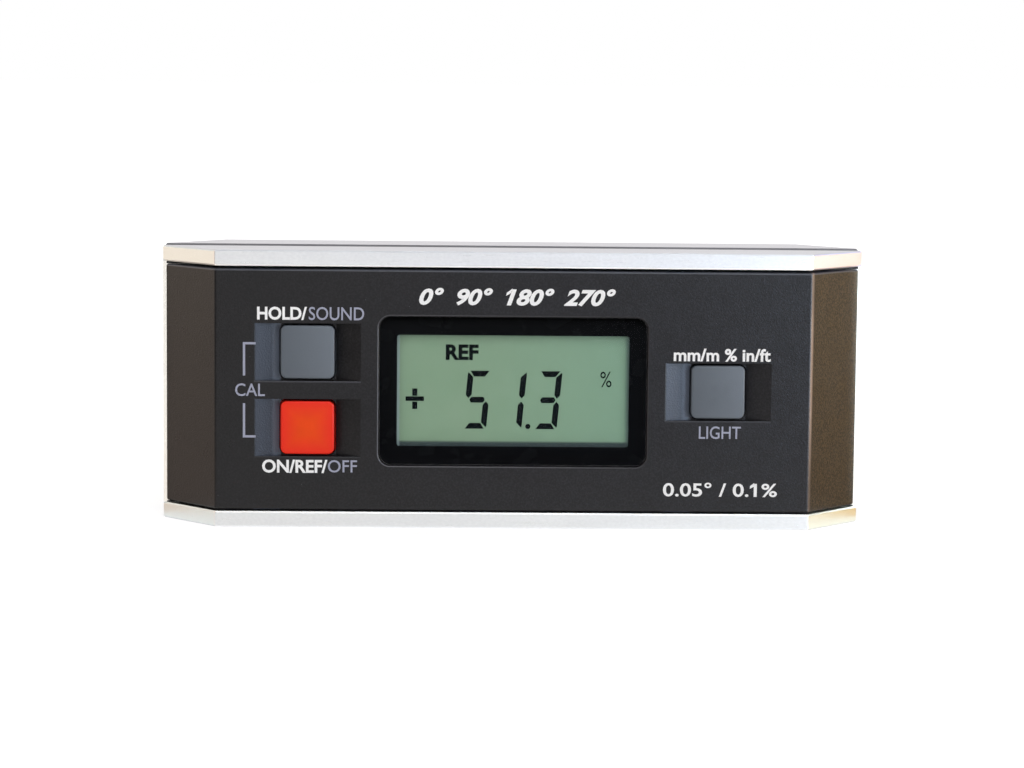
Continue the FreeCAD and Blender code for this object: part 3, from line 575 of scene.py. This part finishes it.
def scoop_lines(tree, x, z, depth):
    """Shares for the painted highlight under each scoop: a narrow band of heights, as long as the scoop."""
    shares = {}
    for key in ("hold_button", "power_button", "units_button"):
        centre = middle_of(key)
        height = centre.z - scoop_half_height - scoop_line_drop
        band = between(tree, distance_from(tree, z, height), 1, 0, *scoop_line_fade)
        along = below(tree, distance_from(tree, x, centre.x), scoop_half_width)
        shares[key] = product(tree, band, along, below(tree, depth, on_face_depth))
    return shares


def painted_edge_highlights(tree, x, y, z):
    """Shares for painted highlights: on the window's rim, strongest at its left, and in a line down the
    right corner.
    """
    past_window = outside_of(tree, x, z, *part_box("display_window"), window_corner)
    rim = between(tree, distance_from(tree, past_window, rim_place), 1, 0, *rim_fade)
    line = between(tree, distance_from(tree, x, corner_line), 1, 0, *corner_fade)
    foot, head = between(tree, z, 0.3, 1, *corner_foot), between(tree, z, 1, 0.6, *corner_head)
    in_front = below(tree, y, 0)
    return {"rim": product(tree, rim, between(tree, x, 0.45, 0.12, *rim_spread), in_front),
            "corner": product(tree, line, foot, head, in_front)}


print("corner line at X in mm:", round(corner_line / MM, 2))

# %% Black cover plastic
cover_cloud, cover_mottle, cover_patch, dust_pitch = 14 * MM, 0.4 * MM, 4 * MM, 2.6 * MM
cover_grain, cover_grain_depth = span(0.3, 0.055)
# A painted highlight along the rounded top edge of each cover.
top_edge_band = (cover_top - 0.5 * MM, cover_top - 0.35 * MM)
left_gloss = span(-60, -10)
# Cloud, clear and dust are the plastic's own, and so is the mottle, though its share grows by painted light.
# The rest are painted highlights, painted light and a painted warm reflection.
cover_tints = {
    "cloud": (0.0016, 0.0012, 0.0016, 1), "clear": (0.0034, 0.0026, 0.0032, 1),
    "mottle": (0.0150, 0.0130, 0.0158, 1), "chamfer": (0.047, 0.030, 0.014, 1), "dust": screen(92, 92, 98),
    "top_edge": screen(72, 74, 82), "ramp": screen(50, 55, 66), "ramp_foot": screen(84, 90, 101),
    "hold_button": screen(56, 56, 61.6), "power_button": screen(30, 30, 33),
    "units_button": screen(45, 45, 49.5), "rim": screen(110, 109, 114), "corner": (0.38, 0.29, 0.25, 1),
}


def cover_black():
    """Black plastic with a spark-eroded grain, patchy shine, a few pale specks of dust, and painted light
    and highlights.
    """
    material, tree, shader, place = new_finish("cover_black", Specular_IOR_Level=0.34)
    x, y, z = (axis_of(tree, place, axis) for axis in "XYZ")
    depth = calculate(tree, "SUBTRACT", y, cover_front)
    cloud = between(tree, noise(tree, place, cover_cloud, detail=4), 0, 1)
    mottle = between(tree, noise(tree, place, cover_mottle, detail=2), 0, 1, 0.42, 0.64)
    specks = node(tree, "TexVoronoi", {"Vector": place}, {"Scale": 1 / dust_pitch}).outputs[0]
    # Painted light: all these pale places except the dust are painted highlights, painted light or a painted
    # warm reflection.
    pale = {**painted_right_light(tree, x, y, mottle), "dust": between(tree, specks, 1, 0, 0.012, 0.03),
            "top_edge": between(tree, z, 0, 0.9, *top_edge_band),
            **left_ramps(tree, x, depth), **scoop_lines(tree, x, z, depth), **painted_edge_highlights(tree, x, y, z)}
    black = blend_colours(tree, cloud, cover_tints["cloud"], cover_tints["clear"])
    for name, share in pale.items():
        black = blend_colours(tree, share, black, cover_tints[name])
    tree.links.new(black, shader.inputs["Base Color"])
    patches = between(tree, noise(tree, place, cover_patch, detail=4), 0.34, 0.42)
    glossier = between(tree, x, 0.07, 0, *left_gloss)
    tree.links.new(calculate(tree, "SUBTRACT", patches, glossier), shader.inputs["Roughness"])
    bumps(tree, shader, (noise(tree, place, cover_grain, detail=3), cover_grain_depth))
    return material


finishes["cover_plastic"] = cover_black()
print("covers:", finishes["cover_plastic"].name, "tints:", len(cover_tints))

# %% [markdown]
# The window is clear acrylic with a coating that keeps reflections down. Light has to pass it on
# its way to the display, so a shadow ray goes straight through: a Transparent shader takes over for
# those rays. The border behind it is gloss black ink.

# %% Window and its black border
smear_size, smear_stretch = 11 * MM, (1, 1, 2.5)
wave_length, wave_height = span(20, 0.01)


def clear_window():
    """Coated clear acrylic that lets light through to what lies behind."""
    material, tree, shader, place = new_finish(
        "clear_window", Base_Color=(0.97, 0.98, 0.98, 1), Transmission_Weight=1.0, IOR=1.1)
    smears = noise(tree, place, smear_size, smear_stretch, detail=5)
    tree.links.new(between(tree, smears, 0.01, 0.05, 0.35, 0.75), shader.inputs["Roughness"])
    bumps(tree, shader, (noise(tree, place, wave_length), wave_height))
    through = node(tree, "BsdfTransparent", values={"Color": (0.95, 0.96, 0.96, 1)})
    shadow = node(tree, "LightPath").outputs["Is Shadow Ray"]
    mixed = node(tree, "MixShader", {0: shadow, 1: shader.outputs[0], 2: through.outputs[0]})
    tree.links.new(mixed.outputs[0], tree.nodes["Material Output"].inputs["Surface"])
    return material


finishes["window_clear"] = clear_window()
finishes["mask_black"] = moulded("mask_black", (0.0143, 0.0150, 0.0175, 1), 0.25, 0.4, 0.002, 0.1, 0.12)
print("window:", finishes["window_clear"].name)

# %% [markdown]
# The display cell is grey-green. The edge of the opening shades it: a dark band lies along its foot
# and a faint one under its head, its right end falls off softly, and its left end catches a little
# light from the wall beside it. Each margin is a blend that starts a little way inside the opening.

# %% Display cell
view_middle = middle_of("window_mask")
view_half_width, view_half_height = span(25.1, 12.1)
view_left, view_right = view_middle.x - view_half_width, view_middle.x + view_half_width
view_foot, view_head = view_middle.z - view_half_height, view_middle.z + view_half_height
foot_band = (view_foot + 0.65 * MM, view_foot + 1.15 * MM)
head_band = (view_head - 0.55 * MM, view_head - 0.15 * MM)
right_band = (view_right - 1.0 * MM, view_right + 0.2 * MM)
left_band = (view_left + 0.4 * MM, view_left + 0.7 * MM)
blue_growth = span(-10, 26)
display_cloud = 7 * MM
display_grain, display_grain_depth = span(0.15, 0.003)


def display_green():
    """The display's grey-green, a little bluer at the right, with its shaded margins."""
    material, tree, shader, place = new_finish("display_green", Specular_IOR_Level=0.3)
    x, z = axis_of(tree, place, "X"), axis_of(tree, place, "Z")
    cloud = noise(tree, place, display_cloud, detail=4)
    warm = blend_colours(tree, between(tree, cloud, 0, 1), screen(112, 138, 111), screen(117, 141, 115))
    green = blend_colours(tree, between(tree, x, 0, 1, *blue_growth), warm, screen(110, 140, 117))
    margins = [(between(tree, z, 1, 0, *foot_band), screen(48, 62, 62)),
               (between(tree, z, 0, 0.35, *head_band), screen(80, 100, 90)),
               (between(tree, x, 0, 1, *right_band), screen(60, 76, 76)),
               (between(tree, x, 0.7, 0, *left_band), screen(140, 158, 160))]
    for share, colour in margins:
        green = blend_colours(tree, share, green, colour)
    tree.links.new(green, shader.inputs["Base Color"])
    tree.links.new(between(tree, cloud, 0.4, 0.5), shader.inputs["Roughness"])
    bumps(tree, shader, (noise(tree, place, display_grain), display_grain_depth))
    return material


finishes["lcd_cell"] = display_green()
print("display:", finishes["lcd_cell"].name, "foot at Z in mm:", round(view_foot / MM, 2))

# %% [markdown]
# The keys are satin plastic with a fine grain. The red one is slightly clear: its middle, where it
# is thickest, looks more orange than its edges. A distance from the key's centre, worked out from
# the solid's own box, drives that change. The two grey keys share one finish and get painted shade
# at their left, so the finish counts from the centre of the key that a point is on.

# %% Keys
key_cloud, key_patch = span(3, 1.5)
key_grain, key_grain_depth = span(0.25, 0.02)
centre_shares, left_side_shares = (0.2, 0.8), (-0.8, 0.7)
worn_share, key_rough_swing = 0.93, 0.1


def key_finish(name, left_key, right_key, edge, centre, roughness, left_shade=0.0):
    """Satin key plastic: a blend by the larger of |x| and |z| from the key's centre, with painted shade to
    the left.
    """
    material, tree, shader, place = new_finish(name, Specular_IOR_Level=0.2)
    middle = middle_of(right_key)
    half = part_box(right_key)[1].z - middle.z
    x = axis_of(tree, place, "X")
    middle_x = between(tree, x, middle_of(left_key).x, middle.x, -MM, MM)
    across = calculate(tree, "SUBTRACT", x, middle_x)
    along = distance_from(tree, axis_of(tree, place, "Z"), middle.z)
    reach = calculate(tree, "MAXIMUM", calculate(tree, "ABSOLUTE", across), along)
    cloud = between(tree, noise(tree, place, key_cloud, detail=4), 0, 1)
    worn = blend_colours(tree, cloud, centre, tuple(worn_share * part for part in centre[:3]) + (1.0,))
    share = between(tree, reach, 0, 1, *(half * part for part in centre_shares))
    colour = blend_colours(tree, share, worn, edge)
    # Painted shade: the key darkens towards its left by left_shade.
    left_side = between(tree, across, left_shade, 0, *(half * part for part in left_side_shares))
    tree.links.new(blend_colours(tree, left_side, colour, (0, 0, 0, 1)), shader.inputs["Base Color"])
    rough = between(tree, noise(tree, place, key_patch), roughness, roughness + key_rough_swing)
    tree.links.new(rough, shader.inputs["Roughness"])
    bumps(tree, shader, (noise(tree, place, key_grain, detail=3), key_grain_depth))
    return material


key_grey, red_edge, red_centre = screen(113, 121, 130), screen(246, 42, 26), screen(247, 74, 3)
finishes["key_grey"] = key_finish("key_grey", "hold_button", "units_button", key_grey, key_grey, 0.42, 0.3)
finishes["key_red"] = key_finish("key_red", "power_button", "power_button", red_edge, red_centre, 0.38)
print("keys:", finishes["key_grey"].name, finishes["key_red"].name)

# %% [markdown]
# The circuit board is green lacquer over copper traces, which a brick pattern of fine lines stands
# for. The pattern lies in X and Y, so a Mapping node turns it upright. A cell's sleeve is a dark
# print that shines a little like the metal under it. Its copper band is a piece of its own, further
# down.

# %% Circuit board and cells
trace_pitch, trace_depth, board_cloud = 6 * MM, 0.03 * MM, 5 * MM
sleeve_cloud, sleeve_depth, sleeve_stretch = 2 * MM, 0.01 * MM, (8, 1, 1)


def board_green():
    """Green lacquer over raised traces."""
    material, tree, shader, place = new_finish("board_green", Coat_Weight=0.4, Coat_Roughness=0.15)
    turned_up = node(tree, "Mapping", {"Vector": place}, {"Rotation": (math.pi / 2, 0, 0)}).outputs[0]
    bricks = node(tree, "TexBrick", {"Vector": turned_up}, {
        "Scale": 1 / trace_pitch, "Mortar Size": 0.03, "Mortar Smooth": 0.2, "Row Height": 0.2})
    traces = bricks.outputs["Fac"]
    cloud = between(tree, noise(tree, place, board_cloud), 0, 1)
    lacquer = blend_colours(tree, cloud, screen(16, 74, 44), screen(22, 86, 50))
    tree.links.new(blend_colours(tree, traces, lacquer, screen(48, 122, 66)), shader.inputs["Base Color"])
    tree.links.new(between(tree, traces, 0.42, 0.3, 0, 1), shader.inputs["Roughness"])
    bumps(tree, shader, (traces, trace_depth))
    return material


def cell_sleeve():
    """A cell's printed sleeve, with faint streaks along it."""
    material, tree, shader, place = new_finish("cell_sleeve", Metallic=0.35)
    cloud = noise(tree, place, sleeve_cloud, sleeve_stretch, detail=3)
    tree.links.new(blend_colours(tree, between(tree, cloud, 0, 1), screen(26, 27, 30), screen(36, 37, 41)),
                   shader.inputs["Base Color"])
    tree.links.new(between(tree, cloud, 0.25, 0.36), shader.inputs["Roughness"])
    bumps(tree, shader, (cloud, sleeve_depth))
    return material


finishes["board_green"] = board_green()
finishes["battery_sleeve"] = cell_sleeve()
print("finishes:", len(finishes))

# %% Give each solid its finish
for name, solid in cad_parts.items():
    slot = solid.data.materials[0].name
    solid.data.materials[0] = finishes[slot]
print("dressed:", len(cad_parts), "solids")

# %% [markdown]
# ## Printed legends
#
# The words beside the keys are printed ink. Each is a text object turned into a mesh, scaled to the
# size that it has on the cover and laid on its face as a film two hundredths of a millimetre thick.
# A grown outline makes the built-in letters bold.

# %% Ink and printing
ink_thickness = 0.02 * MM
ink_white = moulded("ink_white", screen(252, 252, 252), 0.55, 0.12, 0.004, 0.03, 0.3)
ink_grey = moulded("ink_grey", screen(166, 169, 188), 0.55, 0.12, 0.004, 0.05, 0.3)


def add_piece(name, mesh, finish):
    """Put a mesh into the scene as a piece that rides on the casing."""
    mesh.materials.clear()
    mesh.materials.append(finish)
    piece = bpy.data.objects.new(name, mesh)
    bpy.context.scene.collection.objects.link(piece)
    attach(piece, "casing")
    return piece


def letters(name, words, bold, slant=0.0):
    """A word as a flat mesh, with its points as an array of x, y, z."""
    curve = bpy.data.curves.new(name, "FONT")
    curve.body = words
    curve.offset = bold
    curve.shear = slant
    curve.extrude = 0.5
    curve.resolution_u = 4
    words_object = bpy.data.objects.new(name, curve)
    bpy.context.scene.collection.objects.link(words_object)
    graph = bpy.context.evaluated_depsgraph_get()
    mesh = bpy.data.meshes.new_from_object(words_object.evaluated_get(graph))
    bpy.data.objects.remove(words_object)
    points = np.empty(3 * len(mesh.vertices), np.float32)
    mesh.vertices.foreach_get("co", points)
    return mesh, points.reshape(-1, 3)


def printed(name, words, left, right, low, high, finish, bold, slant=0.0, face=cover_front):
    """Print words between two X and two Z, in millimetres, on a face that looks along -Y."""
    mesh, points = letters(name, words, bold, slant)
    corner, far = points.min(0), points.max(0)
    share = (points - corner) / (far - corner)
    placed = np.stack([left + share[:, 0] * (right - left),
                       np.zeros(len(points)),
                       low + share[:, 1] * (high - low)], 1) * MM
    placed[:, 1] = face + ink_thickness * (0.5 - 1.5 * share[:, 2])
    mesh.vertices.foreach_set("co", placed.astype(np.float32).ravel())
    mesh.update()
    return add_piece(name, mesh, finish)


# Each row: name, words, left, right, foot, head, ink, boldness and slant.
legends = [
    ("legend_hold", "HOLD/", -55.2, -44.5, 45.0, 47.85, ink_white, 0.03, 0),
    ("legend_sound", "SOUND", -44.1, -32.2, 45.0, 47.85, ink_grey, 0.006, 0),
    ("legend_on_ref", "ON/REF/", -54.1, -40.0, 11.8, 14.7, ink_white, 0.028, 0),
    ("legend_off", "OFF", -39.9, -33.6, 11.95, 14.65, ink_grey, 0.006, 0),
    ("legend_cal", "CAL", -59.9, -53.5, 28.45, 31.2, ink_grey, 0.006, 0),
    ("legend_units", "mm/m % in/ft", 34.6, 55.6, 36.7, 39.5, ink_white, 0.026, 0),
    ("legend_light", "LIGHT", 40.3, 49.4, 19.85, 22.6, ink_grey, 0.006, 0),
    ("legend_quarters", "0°  90°  180°  270°", -20.4, 21.9, 48.4, 52.2, ink_white, 0.036, 0.3),
    ("legend_steps", "0.05° / 0.1%", 32.7, 57.5, 7.2, 10.3, ink_white, 0.016, 0),
]
for row in legends:
    printed(*row)
print("legends:", len(legends))

# %% [markdown]
# A bracket joins both left keys to the word beside them: two thin angles. Each is a line of a fixed
# width carried along three points. Its two edges lie half a width to either side, and at the corner
# they meet on the line that halves the angle. The built-in figure one is a plain bar, so each of the
# two ones in the legends gets a small flag.

# %% Bracket beside the left keys
def prism_between(outlines, front, rear):
    """Closed prisms from outlines in X and Z, in metres: each is a front ring, a rear ring and sides."""
    points, faces, start = [], [], 0
    for outline in outlines:
        count = len(outline)
        rings = [np.insert(outline, 1, depth, axis=1) for depth in (front, rear)]
        points.append(np.vstack(rings))
        index = np.arange(count)
        after = (index + 1) % count
        sides = np.stack([index, index + count, after + count, after], 1) + start
        faces.append((index + start).tolist())
        faces.append((index[::-1] + count + start).tolist())
        faces += sides.tolist()
        start += 2 * count
    return np.vstack(points), faces


def mesh_from(name, points, faces):
    """A mesh from an array of points and a list of faces, each closed part turned to face outwards."""
    mesh = bpy.data.meshes.new(name)
    mesh.from_pydata(points.tolist(), [], faces)
    work = bmesh.new()
    work.from_mesh(mesh)
    bmesh.ops.recalc_face_normals(work, faces=work.faces)
    work.to_mesh(mesh)
    work.free()
    return mesh


def ribbon(path, width):
    """A line of even width along a path: at each point the edges are moved out along the mitre."""
    path = np.array(path, float)
    step = np.diff(path, axis=0)
    step /= np.linalg.norm(step, axis=1)[:, None]
    side = np.stack([-step[:, 1], step[:, 0]], 1)
    before = np.vstack([side[:1], side])
    behind = np.vstack([side, side[-1:]])
    mitre = before + behind
    mitre *= (2 / (mitre ** 2).sum(1))[:, None]
    return np.vstack([path + mitre * width / 2, (path - mitre * width / 2)[::-1]])


bracket_width = 0.5
upper_arm = ribbon([(-58.0, 32.9), (-58.0, 39.9), (-55.5, 39.9)], bracket_width) * MM
lower_arm = ribbon([(-58.0, 26.9), (-58.0, 19.7), (-55.5, 19.7)], bracket_width) * MM
ink_depths = (cover_front - ink_thickness, cover_front + ink_thickness / 2)
points, faces = prism_between([upper_arm, lower_arm], *ink_depths)
add_piece("legend_bracket", mesh_from("legend_bracket", points, faces), ink_grey)

flags = [np.array([(-0.3, 52.17), (-1.55, 51.25), (-1.72, 50.55), (-0.7, 51.15)]) * MM,
         np.array([(52.5, 10.28), (51.6, 9.6), (51.6, 9.0), (52.5, 9.5)]) * MM]
points, flag_faces = prism_between(flags, *ink_depths)
add_piece("legend_flags", mesh_from("legend_flags", points, flag_faces), ink_white)
print("bracket faces:", len(faces), "flag faces:", len(flag_faces))

# %% [markdown]
# ## Figures on the display
#
# The display shows plus 51.3 percent and the word REF. A figure is built from seven bars. Only four
# outlines are needed, for the top bar, the upper left bar, the middle bar and the point. All others
# are mirror images of these. A shear leans each figure to the right.

# %% Figures of seven bars
figure_width, figure_height = 5.15, 12.66
bar = 1.27
lean = 0.092
bar_gap = 0.13
corner_cut = 0.5
tip_rise = 0.32
shoulder = 1.1
figure_foot = 21.35
figure_middle = figure_height / 2

top_bar = [(corner_cut, figure_height), (figure_width - corner_cut, figure_height),
           (figure_width - bar - bar_gap, figure_height - bar), (bar + bar_gap, figure_height - bar)]
upper_left_bar = [(bar_gap, figure_height - 2.4 * bar_gap), (bar, figure_height - bar - bar_gap),
                  (bar, figure_middle + shoulder), (bar / 2, figure_middle + tip_rise),
                  (0, figure_middle + shoulder), (0, figure_height - 5 * bar_gap)]
middle_bar = [(bar / 2 + 2 * bar_gap, figure_middle), (bar, figure_middle + bar / 2),
              (figure_width - bar, figure_middle + bar / 2),
              (figure_width - bar / 2 - 2 * bar_gap, figure_middle),
              (figure_width - bar, figure_middle - bar / 2), (bar, figure_middle - bar / 2)]


def mirrored(outline, across=False, over=False):
    """An outline turned left to right, or top to bottom, in the figure's own box."""
    points = np.array(outline, float)
    if across:
        points[:, 0] = figure_width - points[:, 0]
    if over:
        points[:, 1] = figure_height - points[:, 1]
    return points[::-1] if across != over else points


bars = {
    "a": mirrored(top_bar), "d": mirrored(top_bar, over=True), "g": mirrored(middle_bar),
    "f": mirrored(upper_left_bar), "b": mirrored(upper_left_bar, across=True),
    "e": mirrored(upper_left_bar, over=True), "c": mirrored(upper_left_bar, across=True, over=True),
}
lit_bars = {"5": "afgcd", "1": "bc", "3": "abgcd"}


def figure(digit, right_edge):
    """The outlines of one figure whose right edge, half way up, is at an X in millimetres."""
    outlines = []
    for letter in lit_bars[digit]:
        points = bars[letter].copy()
        points[:, 0] += right_edge - figure_width + (points[:, 1] - figure_middle) * lean
        points[:, 1] += figure_foot
        outlines.append(points * MM)
    return outlines


def disc(x, z, radius, count=32):
    """A round outline: the cosine and the sine of even steps round a circle."""
    angle = np.arange(count) / count * 2 * math.pi
    return np.stack([x + radius * np.cos(angle), z + radius * np.sin(angle)], 1) * MM


def rectangle(x, z, width, height):
    """A rectangle round its centre."""
    corners = np.array([(-1, -1), (1, -1), (1, 1), (-1, 1)]) / 2
    return (np.array([x, z]) + corners * np.array([width, height])) * MM


display_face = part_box("lcd_panel")[0].y
figure_ink = moulded("figure_ink", screen(1, 8, 10), 0.6, 0.2, 0.002, 0.1, 0.05)
outlines = figure("5", -5.15) + figure("1", 2.51) + figure("3", 10.18) + [disc(3.33, 21.92, 0.57)]
outlines += [rectangle(-21.24, 27.82, 4.0, 1.0), rectangle(-21.24, 29.24, 1.1, 1.58),
             rectangle(-21.24, 26.37, 1.1, 1.62)]
points, faces = prism_between(outlines, display_face - ink_thickness, display_face + ink_thickness / 2)
add_piece("display_figures", mesh_from("display_figures", points, faces), figure_ink)
printed("display_ref", "REF", -14.6, -7.5, 36.3, 39.7, figure_ink, 0.04, 0, display_face)
printed("display_percent", "%", 18.95, 21.4, 30.6, 34.0, figure_ink, 0.0, 0, display_face)
print("figures:", len(outlines), "outlines")

# %% [markdown]
# ## Beads in the gaps and bands on the cells
#
# Dark beads lie in the gap between each cover and each plate. They are shaped as the rubber ring
# under each cover swelling into that gap, and their dark rubber is painted shade, standing in for the
# shade that falls in these gaps. A bead is a rounded strip along the frame's web: its section is half
# an ellipse, drawn with a cosine and a sine. A cell's band is a thin tube round its raised end: a small
# closed profile turned about the cell's axis.

# %% Beads and bands
def bead(wall, swell, low, high, reach, count=11):
    """A closed strip along X that bulges by swell from a wall, between two heights."""
    angle = np.linspace(-math.pi / 2, math.pi / 2, count)
    depth = wall + swell * np.cos(angle)
    height = (low + high) / 2 + (high - low) / 2 * np.sin(angle)
    rings = [np.stack([np.full(count, end), depth, height], 1) for end in (-reach, reach)]
    index = np.arange(count)
    after = (index + 1) % count
    sides = np.stack([index, after, after + count, index + count], 1)
    return np.vstack(rings), sides.tolist() + [index.tolist(), (index + count).tolist()]


def turned(profile, centre, count=72):
    """A closed ring: a profile of distances along X and radii, turned about a line along X."""
    along, radius = np.array(profile).T
    corners = len(profile)
    angle = np.arange(count)[:, None] / count * 2 * math.pi
    points = np.stack([np.broadcast_to(along, (count, corners)), centre.y + radius * np.cos(angle),
                       centre.z + radius * np.sin(angle)], -1).reshape(-1, 3)
    step, corner = np.meshgrid(np.arange(count), np.arange(corners), indexing="ij")
    next_step, next_corner = (step + 1) % count * corners, (corner + 1) % corners
    faces = np.stack([step * corners + corner, step * corners + next_corner,
                      next_step + next_corner, next_step + corner], -1).reshape(-1, 4)
    return points, faces.tolist()


def joined(parts):
    """Several sets of points and faces as one."""
    points, faces, start = [], [], 0
    for part_points, part_faces in parts:
        points.append(part_points)
        faces += [[index + start for index in face] for face in part_faces]
        start += len(part_points)
    return np.vstack(points), faces


web_face = 4.0 * MM
bead_swell = 0.5 * MM
bead_reach = 75.7 * MM
slack = 0.03 * MM
upper_gap = (cover_high.z + slack, half_height + plate_inner - slack)
lower_gap = (half_height - plate_inner + slack, cover_low.z - slack)
beads = [bead(side * web_face, side * bead_swell, *gap, bead_reach)
         for side in (-1, 1) for gap in (upper_gap, lower_gap)]
# Painted shade: dark rubber beads that darken the gaps between covers and plates.
add_piece("gap_shade_beads", mesh_from("gap_shade_beads", *joined(beads)), finishes["seal_rubber"])

band_width, band_lift, band_edge = 8.0 * MM, 0.04 * MM, 0.02 * MM
button_length, shoulder_length = 1.0 * MM, 0.8 * MM
bands = []
for cell, facing in (("upper_battery", 1), ("lower_battery", -1)):
    cell_low, cell_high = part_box(cell)
    radius = (cell_high.z - cell_low.z) / 2
    centre = (cell_low + cell_high) / 2
    end = (cell_high.x if facing > 0 else cell_low.x) - facing * (button_length + shoulder_length)
    start = end - facing * band_width
    bands.append(turned([(start, radius - band_lift), (start, radius + band_lift - band_edge),
                         (start + facing * band_edge, radius + band_lift),
                         (end - facing * band_edge, radius + band_lift),
                         (end, radius + band_lift - band_edge), (end, radius - band_lift)], centre))
copper = plated("band_copper", screen(190, 122, 78), 0.32, 0.08, 0.003, (6, 1, 1))
add_piece("cell_bands", mesh_from("cell_bands", *joined(bands)), copper)
print("beads:", len(beads), "bands:", len(bands))
